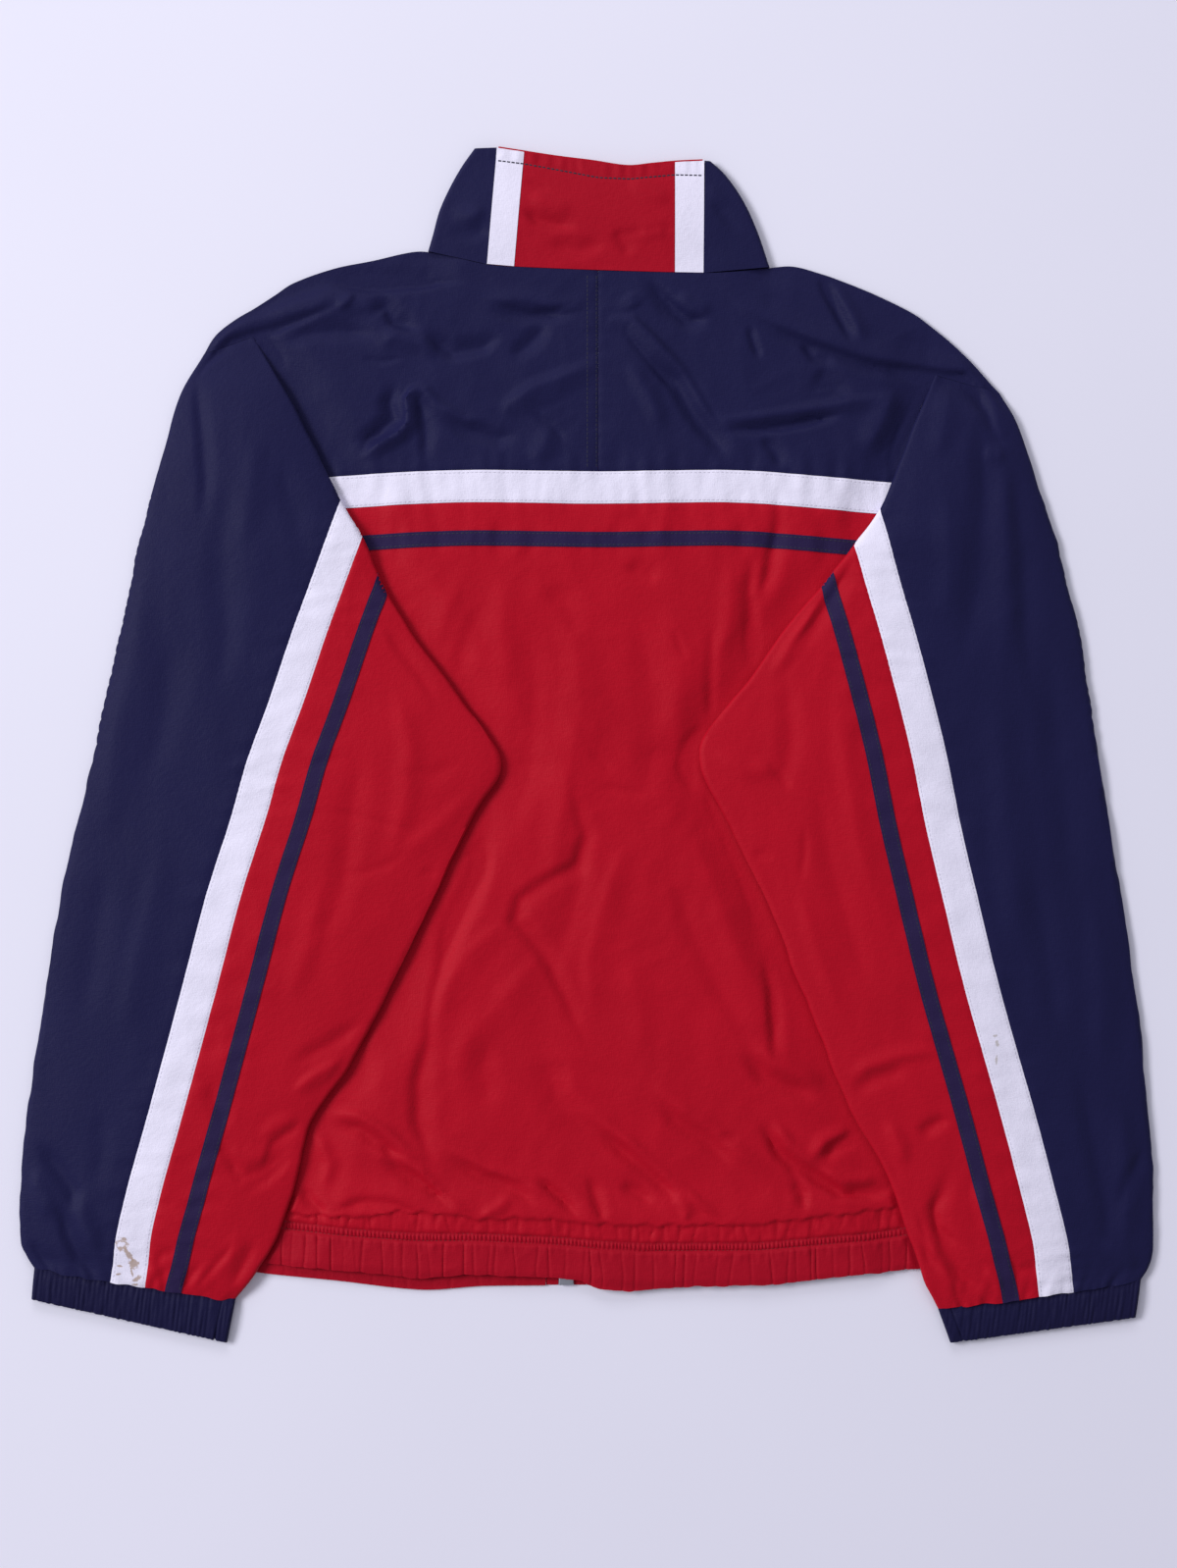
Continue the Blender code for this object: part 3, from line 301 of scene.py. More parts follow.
# These cross the seam at the shoulder, so the yoke and the sleeve share them
SHOULDER_FOLDS = (
    (12, 2.6, -0.3, 188, 386, 206, 362, 234, 338, 268, 326, 312, 308, 356, 296),
    (5.5, -3, 0.2, 196, 392, 212, 370, 238, 350, 270, 341, 308, 327, 354, 308),
    (11, 2.8, 0.4, 730, 292, 759, 315, 790, 329, 814, 338, 839, 350, 875, 363, 931, 372, 965, 378, 985,
     378, 1003, 396, 1020, 420, 1034, 440),
    (7.5, -3.6, -0.2, 762, 326, 792, 340, 822, 351, 852, 361, 890, 374, 935, 381, 962, 384, 982, 386,
     994, 402, 1006, 422, 1011, 438, 1018, 449, 1026, 449, 1031, 438),
)
BACK_FOLDS = (
    (20, 1.6, 0.2, 566, 600, 586, 650, 592, 720, 580, 790, 566, 880, 524, 932),
    (18, -1.4, 0, 540, 640, 546, 720, 540, 790, 520, 850),
    (14, 1.1, 0, 517, 587, 512, 640, 518, 700),
    (12, -1.1, 0.2, 492, 616, 476, 650, 466, 690),
    (12, 1, -0.2, 470, 590, 452, 632, 446, 660),
    (12, -1.1, 0.2, 556, 598, 576, 616, 590, 650),
    (10, -1.6, 0.3, 638, 578, 658, 586, 672, 592),
    (16, 1.1, 0, 683, 605, 694, 670, 690, 730, 704, 790),
    (16, -1.2, 0, 650, 620, 662, 690, 668, 760, 650, 830),
    (9, -3, 0.3, 793, 500, 791, 540, 782, 587, 770, 620),
    (8, -2.4, 0, 767, 566, 764, 600, 765, 640, 766, 684),
    (10, 1.2, 0, 744, 570, 744, 620, 736, 670),
    (6, -1.4, 0, 726, 640, 724, 690, 724, 738),
    (4, -0.9, 0, 685, 640, 692, 656, 698, 674),
    (12, 1.2, 0.3, 640, 850, 616, 920, 600, 980, 606, 1040),
    (16, -1.3, -0.2, 600, 860, 584, 930, 566, 990),
    (14, 1.3, 0.2, 702, 840, 730, 910, 752, 970, 786, 1030),
    (14, -1.3, 0.2, 680, 880, 706, 950, 734, 1010, 764, 1060),
    (11, -2.7, 0, 496, 850, 486, 900, 462, 950, 444, 990),
    (12, 1.3, 0.3, 520, 935, 480, 968, 452, 1010, 440, 1050),
    (14, 1.2, 0.2, 560, 960, 530, 1000, 505, 1028, 476, 1056, 467, 1089, 472, 1124),
    (14, -1.2, 0, 500, 1056, 492, 1090, 500, 1130),
    (11, -2.7, 0.3, 439, 1051, 426, 1102, 426, 1143, 441, 1184),
    (8, 2.8, -0.4, 332, 1133, 365, 1134, 393, 1150, 418, 1172, 442, 1182),
    (8, -3.2, 0.2, 340, 1146, 368, 1150, 390, 1168, 414, 1186),
    (8, 3, -0.4, 376, 1150, 393, 1174, 429, 1192, 454, 1217, 482, 1236),
    (9, -3.8, 0.2, 386, 1180, 408, 1192, 440, 1212, 468, 1230),
    (7, 2.4, -0.3, 454, 1165, 495, 1189, 531, 1201, 556, 1216, 584, 1241),
    (8, -3, 0.2, 458, 1178, 494, 1200, 526, 1212, 552, 1230),
    (7, 2.4, -0.3, 551, 1188, 579, 1211, 600, 1230, 616, 1247),
    (7, -2.7, 0.2, 548, 1200, 572, 1220, 590, 1238),
    (14, -1.8, -0.2, 554, 1074, 567, 1120, 589, 1143, 617, 1163, 650, 1181),
    (12, 1.3, 0.2, 576, 1076, 588, 1112, 612, 1138, 642, 1158),
    (7, -2.4, 0, 306, 1209, 320, 1226, 336, 1238),
    (7, 2, 0.2, 322, 1152, 336, 1184, 330, 1212),
    (6, 1.6, 0.2, 522, 1216, 508, 1228, 490, 1238),
    (6, -2.4, 0, 340, 1232, 372, 1224, 404, 1226, 436, 1240),
    (9, 3, -0.4, 608, 1139, 641, 1162, 671, 1188, 702, 1216, 736, 1243),
    (9, -3.8, 0.2, 610, 1152, 640, 1176, 668, 1200, 698, 1228),
    (11, 2.2, -0.2, 667, 1100, 687, 1124, 715, 1142, 753, 1172, 790, 1196),
    (11, -3, 0.2, 668, 1116, 688, 1140, 716, 1158, 748, 1186),
    (8, -3.8, 0.3, 774, 1142, 794, 1175, 830, 1200, 858, 1218),
    (8, 2.2, -0.2, 788, 1140, 806, 1168, 836, 1190),
    (11, -3.2, 0.2, 756, 1072, 779, 1098, 812, 1111, 832, 1121),
    (11, 2.2, 0, 766, 1060, 792, 1084, 822, 1096, 842, 1108),
    (8, -2.4, 0.3, 784, 1000, 788, 1040, 789, 1084),
    (7, 2.4, 0.3, 826, 1182, 840, 1162, 868, 1149),
    (7, -3, 0, 838, 1182, 852, 1168, 874, 1160),
    (7, -3.5, 0.3, 819, 1191, 855, 1216, 884, 1216, 912, 1211),
    (7, 2, 0, 830, 1190, 862, 1202, 902, 1198),
    (6, -2.4, 0, 806, 1204, 816, 1216, 820, 1232),
    (6, 1.8, 0.2, 684, 1216, 696, 1228, 701, 1243),
    (7, -2.4, 0.2, 600, 1198, 608, 1222, 616, 1245),
    (7, -2.4, 0.2, 632, 1208, 648, 1214, 666, 1226),
    (6, -1.4, 0, 733, 1157, 753, 1160),
    (7, -1.5, 0.2, 466, 912, 461, 940, 453, 977, 444, 1011, 438, 1042, 435, 1082),
    (5, -1.1, 0, 469, 876, 490, 866, 499, 873, 496, 891, 481, 912, 466, 921),
    (9, -2.4, 0.2, 583, 789, 589, 826, 597, 852, 588, 882, 558, 897, 531, 916, 525, 938, 545, 960, 561,
     984, 574, 1011, 589, 1045, 601, 1073),
    (4.5, -1, 0, 610, 801, 635, 806, 657, 811),
    (4.5, -0.9, 0, 600, 767, 613, 776, 626, 787),
    (4.5, -1.5, 0, 382, 1160, 404, 1182, 424, 1195, 439, 1210, 464, 1237),
    (4.5, -1.5, 0, 471, 1175, 501, 1197, 534, 1205, 558, 1222, 581, 1240),
    (4, -1.7, 0, 551, 1187, 576, 1210, 601, 1232, 616, 1247),
    (4.5, -1.5, 0, 644, 1164, 682, 1194, 712, 1232, 742, 1245),
    (4.5, -1.5, 0, 781, 1164, 802, 1185, 820, 1214, 821, 1232),
    (4.5, -1.6, 0, 862, 1216, 885, 1219, 912, 1210),
    (16, 1, 0, 640, 980, 652, 1030, 650, 1080),
    (14, 1, 0, 380, 1040, 392, 1080, 384, 1118),
    (8, -2.8, 0, 716, 740, 702, 760, 698, 782, 706, 808),
    (6, -2.7, 0.2, 716, 806, 733, 838, 748, 872, 760, 905, 774, 945),
    (7, -1.6, 0.2, 778, 975, 786, 1015, 789, 1062),
)
LEFT_SLEEVE_FOLDS = (
    (8, -1.8, 0.2, 200, 388, 207, 440, 211, 490, 208, 536),
    (16, -1.4, 0, 232, 480, 229, 560, 232, 640, 226, 720),
    (14, 1.1, 0, 262, 440, 258, 500, 250, 560),
    (12, -1.1, 0.2, 286, 470, 300, 520, 304, 560),
    (20, 1.4, 0, 150, 560, 140, 660, 120, 760, 106, 860),
    (16, -1.3, 0.1, 180, 640, 172, 720, 152, 800),
    (16, -1.1, 0, 112, 880, 100, 960, 86, 1040),
    (16, 1.1, 0.2, 170, 860, 146, 960, 126, 1060),
    (9, -3, 0.2, 40, 1164, 63, 1194, 75, 1212, 80, 1236),
    (12, 2, 0, 32, 1190, 46, 1214, 56, 1240),
    (9, -3, 0.3, 62, 1226, 71, 1258, 82, 1281, 102, 1301),
    (10, 2, 0, 80, 1212, 90, 1248, 104, 1276),
    (5, -1.5, 0, 155, 1309, 163, 1299, 174, 1296),
    (5, -1.3, 0, 159, 1286, 169, 1276, 184, 1271),
    (5, -1.6, 0, 199, 1309, 214, 1296, 232, 1276, 242, 1262),
    (5, -1.4, 0, 224, 1165, 236, 1180, 244, 1196),
    (7, -1.5, 0.2, 250, 1212, 272, 1201, 302, 1174),
    (12, -1.1, 0, 105, 1130, 107, 1170, 100, 1208),
    (7, -1.6, 0.2, 30, 1262, 44, 1280, 70, 1294),
    (9, -1.2, 0.3, 391, 636, 408, 662, 428, 688, 446, 716),
    (4.5, -0.9, 0, 327, 828, 357, 830, 388, 838, 419, 846, 447, 862),
    (4.5, -0.7, 0, 345, 892, 370, 889, 394, 882, 416, 869),
    (4.5, -0.9, 0, 428, 889, 440, 889, 452, 893),
    (12, 1.3, 0, 404, 700, 420, 760, 414, 820, 398, 880),
    (9, -0.8, 0.2, 470, 776, 440, 790, 408, 786),
    (12, 1.1, 0.2, 484, 806, 440, 850, 404, 870),
    (14, -1.3, 0, 372, 760, 360, 830, 352, 900, 330, 960),
    (12, 1, 0, 330, 900, 316, 960, 296, 1020),
    (8, 2, 0.3, 354, 1077, 326, 1092, 299, 1111),
    (9, -1.8, 0, 372, 1040, 336, 1064, 300, 1082),
    (7, -1.6, 0.3, 312, 1144, 294, 1152, 280, 1164, 270, 1188),
    (8, 1.2, 0, 306, 1136, 284, 1144, 266, 1158),
    (7, -1.6, 0.3, 228, 1166, 238, 1182, 248, 1198, 258, 1196, 280, 1182, 302, 1164),
    (10, 1.2, 0, 232, 1160, 246, 1176, 266, 1180, 286, 1166),
    (9, 1.3, 0.2, 247, 1250, 232, 1283, 200, 1302, 188, 1318),
    (8, -1.3, 0, 262, 1262, 248, 1290, 236, 1314),
    (6, 1.6, 0.2, 152, 1286, 160, 1298, 168, 1309),
    (6, -1.6, 0, 206, 1288, 196, 1300, 188, 1310),
    (10, -1.6, 0, 214, 1100, 226, 1130, 236, 1150),
)
RIGHT_SLEEVE_FOLDS = (
    (8, 1.6, 0, 1002, 458, 1010, 466, 1024, 466),
    (13, 1.5, 0, 966, 396, 962, 430, 952, 470),
    (16, -2.1, 0.1, 998, 424, 1001, 495, 996, 587, 980, 679),
    (14, 1.5, 0, 1020, 460, 1024, 540, 1026, 620, 1018, 700),
    (12, -1.4, 0.2, 1030, 470, 1039, 556, 1044, 648, 1052, 720),
    (14, 1.4, 0, 962, 500, 966, 580, 960, 640),
    (18, -1.5, 0, 1062, 640, 1076, 740, 1086, 840, 1090, 920),
    (18, 1.5, 0.1, 1010, 700, 1022, 800, 1030, 900, 1040, 980),
    (14, -1.4, 0, 1050, 880, 1066, 980, 1076, 1060),
    (16, 1.4, 0.2, 1110, 900, 1122, 1000, 1120, 1100),
    (14, -1.7, 0.2, 1096, 1080, 1112, 1160, 1126, 1230, 1130, 1290),
    (12, 1.5, 0, 1140, 1120, 1148, 1200, 1144, 1280),
    (9, -1.8, 0.2, 1166, 1170, 1150, 1196, 1138, 1230),
    (8, 1.6, 0.2, 1160, 1290, 1140, 1274, 1120, 1262),
    (9, -2, 0.3, 870, 570, 852, 600, 826, 640, 800, 668),
    (9, 1.8, 0, 836, 610, 812, 650, 786, 690),
    (12, -1.4, 0, 800, 690, 806, 750, 796, 806),
    (10, 1.6, 0, 726, 766, 760, 786, 800, 782),
    (14, 1.5, 0.2, 850, 700, 862, 780, 874, 860, 896, 930),
    (14, -1.4, 0, 830, 800, 846, 880, 866, 950, 884, 1010),
    (12, 1.2, 0.2, 812, 900, 836, 980, 858, 1040),
    (7, 2, 0.3, 861, 1100, 884, 1086, 919, 1074, 958, 1069),
    (8, -1.8, 0, 866, 1114, 890, 1098, 924, 1088),
    (7, -1.8, 0.2, 937, 1157, 952, 1146, 968, 1137),
    (9, 1.8, 0, 904, 1140, 914, 1162, 922, 1184),
    (10, -2.2, 0.2, 967, 1188, 950, 1232, 960, 1272, 988, 1310),
    (9, 2.2, 0.2, 917, 1234, 938, 1256, 954, 1278, 972, 1314),
    (7, -1.8, 0, 934, 1236, 942, 1262, 940, 1290),
    (6, 1.6, 0.2, 1000, 1290, 1012, 1300, 1018, 1314),
    (9, 1.8, 0, 996, 1190, 1000, 1226, 1012, 1256),
    (5, -1.6, 0, 966, 1208, 951, 1227, 954, 1251, 975, 1265, 988, 1277),
    (5, -1.7, 0, 929, 1268, 944, 1279, 966, 1291, 987, 1303, 1006, 1316),
    (4.5, -1.4, 0, 1027, 1276, 1036, 1294, 1049, 1288, 1055, 1300),
    (4.5, -1.4, 0, 972, 1305, 976, 1326),
    (6, -1.4, 0.2, 890, 1168, 904, 1187, 916, 1203),
    (5, -1.2, 0, 932, 1153, 948, 1144, 962, 1137),
    (4, -1, 0, 820, 842, 819, 870, 815, 898),
    (4, -1, 0, 765, 880, 772, 871, 788, 870),
    (5, -1.1, 0, 780, 775, 794, 790, 806, 806),
)
COLLAR_FOLDS = (
    (8, -2.3, 0.2, 533, 214, 548, 227, 566, 231, 590, 233),
    (9, 1.5, 0, 540, 202, 566, 212, 584, 216),
    (9, -1.6, 0.2, 626, 236, 636, 250, 641, 264),
    (10, 1.2, 0, 650, 238, 664, 236, 680, 236),
    (9, 1.5, 0, 640, 186, 664, 200, 684, 206),
    (9, -1.8, 0, 560, 250, 590, 256, 618, 250),
    (8, 2.1, 0.2, 458, 216, 476, 222, 496, 220),
    (8, -2.5, 0, 456, 236, 478, 240, 500, 236),
    (8, -2.2, 0.2, 726, 206, 742, 224, 756, 240),
    (8, 1.8, 0, 722, 190, 734, 204, 742, 214),
    (5, -0.9, 0, 534, 216, 546, 224, 562, 229, 580, 232),
    (5, -0.8, 0, 632, 240, 652, 237, 672, 234, 690, 234),
    (4.5, -0.7, 0, 538, 186, 548, 192, 562, 195),
)
FRONT_FOLDS = (
    (16, 0.5, 0, 420, 700, 440, 820, 420, 940),
    (14, 0.5, 0.2, 500, 500, 480, 620, 510, 700),
    (12, 0.6, 0.2, 360, 1120, 430, 1180, 520, 1230),
    (12, 0.6, 0, 660, 1140, 740, 1200, 820, 1240),
    (16, 0.5, 0, 760, 640, 740, 780, 770, 900),
    (14, 0.5, 0, 680, 420, 740, 460, 820, 470),
    (12, 0.5, 0.2, 380, 400, 440, 430, 520, 420),
    (12, 0.5, 0, 560, 960, 520, 1040, 540, 1100),
    (12, 0.6, 0, 700, 980, 680, 1060, 720, 1120),
)

# Colours, linear
NAVY = (0.0116, 0.0111, 0.0562)
NAVY_DARK = (0.0092, 0.0084, 0.0430)
NAVY_TAPE = (0.022, 0.013, 0.061)
RED = (0.435, 0.0030, 0.0165)
RED_DARK = (0.375, 0.0028, 0.0165)
WHITE = (0.80, 0.77, 0.94)
METAL = (0.42, 0.43, 0.50)
FLOOR = (0.79, 0.78, 0.92)
THREAD_NAVY = (0.007, 0.007, 0.028)
THREAD_RED = (0.19, 0.003, 0.011)
THREAD_WHITE = (0.66, 0.63, 0.78)
STAIN_LEFT = (0.42, 0.31, 0.26)
STAIN_RIGHT = (0.50, 0.46, 0.47)

# Stains on the white stripes: centre and half sizes in millimetres, turn in degrees, ring or not
Spot = namedtuple("Spot", "x y half_x half_y turn ring")
SPOTS_LEFT = (
    (-320.6, -344.6, 4.4, 4.0, 20, True),
    (-316.2, -351.6, 2.0, 5.6, 32, False),
    (-312.2, -358.4, 4.2, 4.0, -20, False),
    (-313.8, -364.6, 1.0, 3.6, 10, False),
    (-322.2, -359.9, 2.7, 0.9, -8, False),
    (-323.2, -365.5, 2.4, 0.8, 4, False),
    (-310.4, -368.6, 3.4, 1.6, 30, False),
    (-311.6, -372.8, 3.0, 1.0, 6, False),
)
SPOTS_RIGHT = (
    (281.6, -200.6, 1.8, 1.0, 20, False),
    (283.0, -206.0, 1.2, 2.6, 10, False),
    (282.4, -217.0, 1.0, 3.4, -6, False),
)

rng = np.random.default_rng(7)


def smooth(value):
    value = np.clip(value, 0.0, 1.0)
    return value * value * (3.0 - 2.0 * value)


def mix(first, second, share):
    return first + (second - first) * share


def bell(away, width):
    """1 in the middle, and next to nothing at twice this width to either side."""
    return np.exp(-((away / width) ** 2))


def hermite(t, start, end, leave, arrive):
    """A cubic from start to end with the slopes that it leaves and arrives with."""
    t2, t3 = t * t, t * t * t
    first = (2 * t3 - 3 * t2 + 1) * start + (t3 - 2 * t2 + t) * leave
    return first + (3 * t2 - 2 * t3) * end + (t3 - t2) * arrive


def monotone(values, place):
    """A smooth curve through values at 0, 1, 2 and so on, with no overshoot."""
    step = np.diff(values)
    same = step[:-1] * step[1:] > 0
    both = np.where(same, step[:-1] + step[1:], 1.0)
    inner = np.where(same, 2.0 * step[:-1] * step[1:] / both, 0.0)
    slope = np.concatenate([step[:1], inner, step[-1:]])
    place = np.clip(place, 0.0, len(values) - 1.0)
    low = np.minimum(place.astype(int), len(values) - 2)
    return hermite(place - low, values[low], values[low + 1], slope[low], slope[low + 1])


def from_photo(path):
    """Places in the model's frame of points given in the photograph's pixels."""
    return (np.array(path, float) - PHOTO_CENTRE) * (PHOTO_MM, -PHOTO_MM)


def along_line(line, x):
    return np.interp(x, *np.transpose(line))


def run_length(points):
    """The length of each path up to each of its points."""
    steps = np.linalg.norm(np.diff(points, axis=-2), axis=-1)
    return np.concatenate([0.0 * steps[..., :1], np.cumsum(steps, -1)], -1)


def stretches(line, x, y):
    """Of each stretch of a line: the share of it passed at the point nearest to each place, the
    distance to that point, the side of the line, and the stretch's length."""
    for (x0, y0), (run_x, run_y) in zip(line, np.diff(line, axis=0)):
        px, py = x - x0, y - y0
        length = math.hypot(run_x, run_y)
        share = np.clip((px * run_x + py * run_y) / length**2, 0.0, 1.0)
        away = np.hypot(px - run_x * share, py - run_y * share)
        yield share, away, np.sign(run_x * py - run_y * px), length


def away_from(line, x, y):
    return np.min([away for _, away, _, _ in stretches(line, x, y)], axis=0)


def waves(x, y, size, seed):
    """Smooth noise from about -1 to 1, whose bumps are about size across."""
    flat = zip(np.ravel(x) / size, np.ravel(y) / size)
    values = [noise.noise(Vector((a, b, seed))) for a, b in flat]
    return 2.0 * np.reshape(values, np.shape(x))


def crease_height(folds, x, y):
    """The sum of the creases of a table at these places."""
    total = np.zeros(np.shape(x))
    for half_width, height, lean, *path in folds:
        path = from_photo(np.reshape(path, (-1, 2)))
        reach = half_width * 1.6
        low, high = path.min(0) - reach, path.max(0) + reach
        near = (x > low[0]) & (x < high[0]) & (y > low[1]) & (y < high[1])
        if not near.any():
            continue
        best, side, gone, before = np.inf, 0.0, 0.0, 0.0
        for share, away, turn, length in stretches(path, x[near], y[near]):
            closer = away < best
            best = np.where(closer, away, best)
            side = np.where(closer, turn, side)
            gone = np.where(closer, before + share * length, gone)
            before += length
        share = gone / before
        width = half_width * (1.0 + lean * side) * mix(0.75, 1.1, np.sin(math.pi * share))
        q = np.clip(best / width, 0.0, 1.0)
        profile = (1.0 - q) ** 2 * (1.0 + 1.3 * q)
        total[near] += height * profile * smooth(np.minimum(share, 1.0 - share) * 3.0 + 0.12)
    return total


def crumple(x, y, seed):
    """Fine unevenness of pressed and worn nylon."""
    bend = waves(x, y, 60.0, seed + 5.0)
    soft = waves(x + 14.0 * bend, y - 10.0 * bend, 34.0, seed)
    sharp = 1.0 - np.abs(waves(x - 8.0 * bend, y + 12.0 * bend, 26.0, seed + 9.0)) * 2.0
    return 0.55 * soft + 0.30 * sharp + 0.12 * waves(x, y, 11.0, seed + 3.0)


def fold_x(sleeve, y):
    return np.interp(y, sleeve.fold_y[::-1], sleeve.fold_x[::-1])


def furrow_table(near, far):
    """Furrows of gathered cloth at uneven distances: place, width, depth, lean and curve."""
    rows = []
    x, end = FURROWED
    while x < end:
        x += rng.uniform(near, far)
        rows.append((x, rng.uniform(0.55, 0.95), rng.uniform(0.25, 0.9), rng.normal(0.0, 0.06),
                     rng.normal(0.0, 0.35)))
    return rows


CASING_FURROWS = furrow_table(3.5, 16.0)
RUFFLE_FURROWS = furrow_table(3.0, 13.0)
FRONT_FURROWS = furrow_table(7.0, 18.0)


def furrows(table, x, below):
    """Depth of a table's furrows, which run down from their seam."""
    total = np.zeros(np.shape(x))
    for place, width, depth, lean, curve in table:
        total += depth * bell(x - place - lean * below - curve * np.sin(below * 0.2), width)
    return total


def hem_relief(x, y):
    """The gathered hem: puffed casing, two pinched stitch rows, and a ruffle that the panel hangs over."""
    below = along_line(HEM_ROWS, x) - y
    above = -below
    crest = along_line(HEM_CREST, x) + 1.1 * waves(x, 0.0 * y, 9.0, 4.0)
    over = smooth((above - crest) / 1.6)
    ruffle = (1.0 - over) * smooth(above / 2.0)
    casing = smooth((below - STITCH_ROWS) / 2.5)
    between = smooth(below / 0.8) * smooth((STITCH_ROWS - below) / 0.8)
    total = over * 2.6 * smooth(1.0 - (above - crest) / 30.0)
    total -= ruffle * 1.1 * furrows(RUFFLE_FURROWS, x, 2.0 * below)
    total += ruffle * (0.9 + 0.35 * waves(x, y * 0.6, 5.0, 2.0))
    total += casing * (1.5 * smooth((33.0 - below) / 9.0) - furrows(CASING_FURROWS, x, below))
    total += casing * 0.35 * waves(x, y * 0.2, 4.0, 7.0) * smooth((16.0 - below) / 8.0)
    total += between * (0.3 + 0.45 * np.sin(x * 2.3 + 2.0 * waves(x, 0.0 * y, 12.0, 6.0)))
    return total - 0.5 * bell(below, 0.9) - 0.5 * bell(below - STITCH_ROWS, 0.9)


def back_middle(x, y):
    """Middle surface of the back's cloth."""
    neck = np.maximum(0.0, np.minimum(x - NECK[0], NECK[1] - x))
    sides = np.minimum(x - fold_x(LEFT_SLEEVE, y), fold_x(RIGHT_SLEEVE, y) - x)
    shoulder = along_line(SHOULDER_LEFT + SHOULDER_RIGHT, x) - y
    room = np.minimum(sides, shoulder + neck + LOFT_MARGIN)
    height = BACK_REST + smooth((room - LOFT_MARGIN) / LOFT_RISE) * BACK_LOFT + CLOTH / 2.0
    shown = np.where((sides < 0.0) & (y < ARMHOLE_Y), 0.0, smooth((sides + 40.0) / 8.0))
    inner_folds = [np.stack([sleeve.fold_x, sleeve.fold_y], 1) for sleeve in (LEFT_SLEEVE, RIGHT_SLEEVE)]
    for edge in (*inner_folds, SHOULDER_LEFT, SHOULDER_RIGHT):
        shown = shown * smooth(away_from(edge, x, y) / CREASE_EDGE)
    above_yoke = y - along_line(YOKE_LINE, x)
    creases = crease_height(YOKE_FOLDS, x, y) + crease_height(BACK_FOLDS, x, y)
    creases *= mix(1.0, 0.35, smooth(1.0 - np.abs(above_yoke + 22.0) / 34.0))
    creases = creases * 1.15 + crease_height(SHOULDER_FOLDS, x, y) + crumple(x, y, 1.0) * BACK_CRUMPLE
    for drop, seed in ((0.0, 3.1), (BAND, 6.3), (TAPE_MIDDLE, 8.4)):
        creases += 0.55 * bell(above_yoke + drop, 13.0) * waves(x, y * 0.25, 8.5, seed)
    for drop in (0.0, BAND):
        creases -= 0.45 * bell(above_yoke + drop, 1.3)
    across = x - CENTRE_BACK
    upper = smooth(above_yoke / 6.0)
    creases += upper * 0.4 * bell(across, 9.0) * waves(x * 0.25, y, 7.0, 11.0)
    creases -= upper * 0.5 * bell(across, 1.4)
    low = y < along_line(HEM_LINE, x) + HEM_REACH
    creases[low] += hem_relief(x[low], y[low])
    return np.maximum(height + creases * shown, BACK_REST + 0.1)


def collar_middle(x, y):
    """Middle surface of the collar's upper layer."""
    arch = np.clip(1.0 - ((x - CENTRE_BACK) / 130.0) ** 2, 0.0, 1.0)
    puff = COLLAR_PUFF * np.sin(math.pi * smooth((y - 322.0) / 90.0)) * arch
    above = y - along_line(COLLAR_STITCHES, x)
    creases = crease_height(COLLAR_FOLDS, x, y) + 0.35 * crumple(x, y, 21.0) - 0.5 * bell(above, 1.1)
    creases += 0.45 * smooth(above / 2.0) * waves(x, 0.2 * y, 5.0, 33.0)
    shown = smooth((y - 327.0) / 5.0) * smooth((412.0 - y) / 9.0 + 0.3)
    base = COLLAR_REST + CLOTH / 2.0 + 0.5 * smooth((y - 330.0) / 40.0)
    return np.maximum(base + puff + creases * shown, COLLAR_REST)


def level(height):
    """A middle surface that is flat at this height."""
    return lambda x, y: np.full(np.shape(x), height)


def floor_middle(x, y):
    """Middle surface of cloth that rests on the floor."""
    worn = crease_height(FRONT_FOLDS, x, y) + 0.25 * crumple(x, y, 40.0)
    return FLOOR_MIDDLE + np.maximum(0.0, worn)


def front_hem_middle(x, y):
    below = along_line(HEM_LINE, x) - y
    casing = smooth((below - 3.0) / 5.0) - 0.6 * furrows(FRONT_FURROWS, x, below)
    return FLOOR_MIDDLE + np.clip(casing, 0.0, 1.1)


def tape_middle(x, y):
    return back_middle(x, y) + TAPE_LIFT


def node_outline(node):
    """The outline in plan of a flat CAD solid, anticlockwise, in millimetres."""
    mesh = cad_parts[node].data
    places = np.array([vertex.co for vertex in mesh.vertices], float) / MM
    keys = {}
    merged = [keys.setdefault(tuple(np.round(p, 2)), len(keys)) for p in places]
    edges = set()
    for face in mesh.polygons:
        if face.normal.z > 0.5:
            corners = [merged[i] for i in face.vertices]
            edges |= set(zip(corners, corners[1:] + corners[:1]))
    following = {start: end for start, end in edges if (end, start) not in edges}
    loop = [next(iter(following))]
    while following[loop[-1]] != loop[0]:
        loop.append(following[loop[-1]])
    return np.array(list(keys))[loop][:, :2]


def rounded(outline, pitch):
    """The same outline at this pitch, curved where its corners are blunt and kept where sharp."""
    before, after = np.roll(outline, 1, 0), np.roll(outline, -1, 0)
    into, out = outline - before, after - outline
    sharp = np.abs(np.arctan2(np.cross(into, out), (into * out).sum(1))) > CORNER
    tangent = (after - before) / 2.0
    points = []
    for i, here in enumerate(outline):
        j = (i + 1) % len(outline)
        run = outline[j] - here
        length = np.hypot(*run)
        pulls = [min(length / max(np.hypot(*tangent[k]), 1e-6), LONGEST_PULL) for k in (i, j)]
        leave, arrive = [run if sharp[k] else tangent[k] * pull for k, pull in zip((i, j), pulls)]
        steps = max(1, round(length / pitch))
        points += [hermite(t, here, outline[j], leave, arrive) for t in np.arange(steps) / steps]
    return np.array(points)


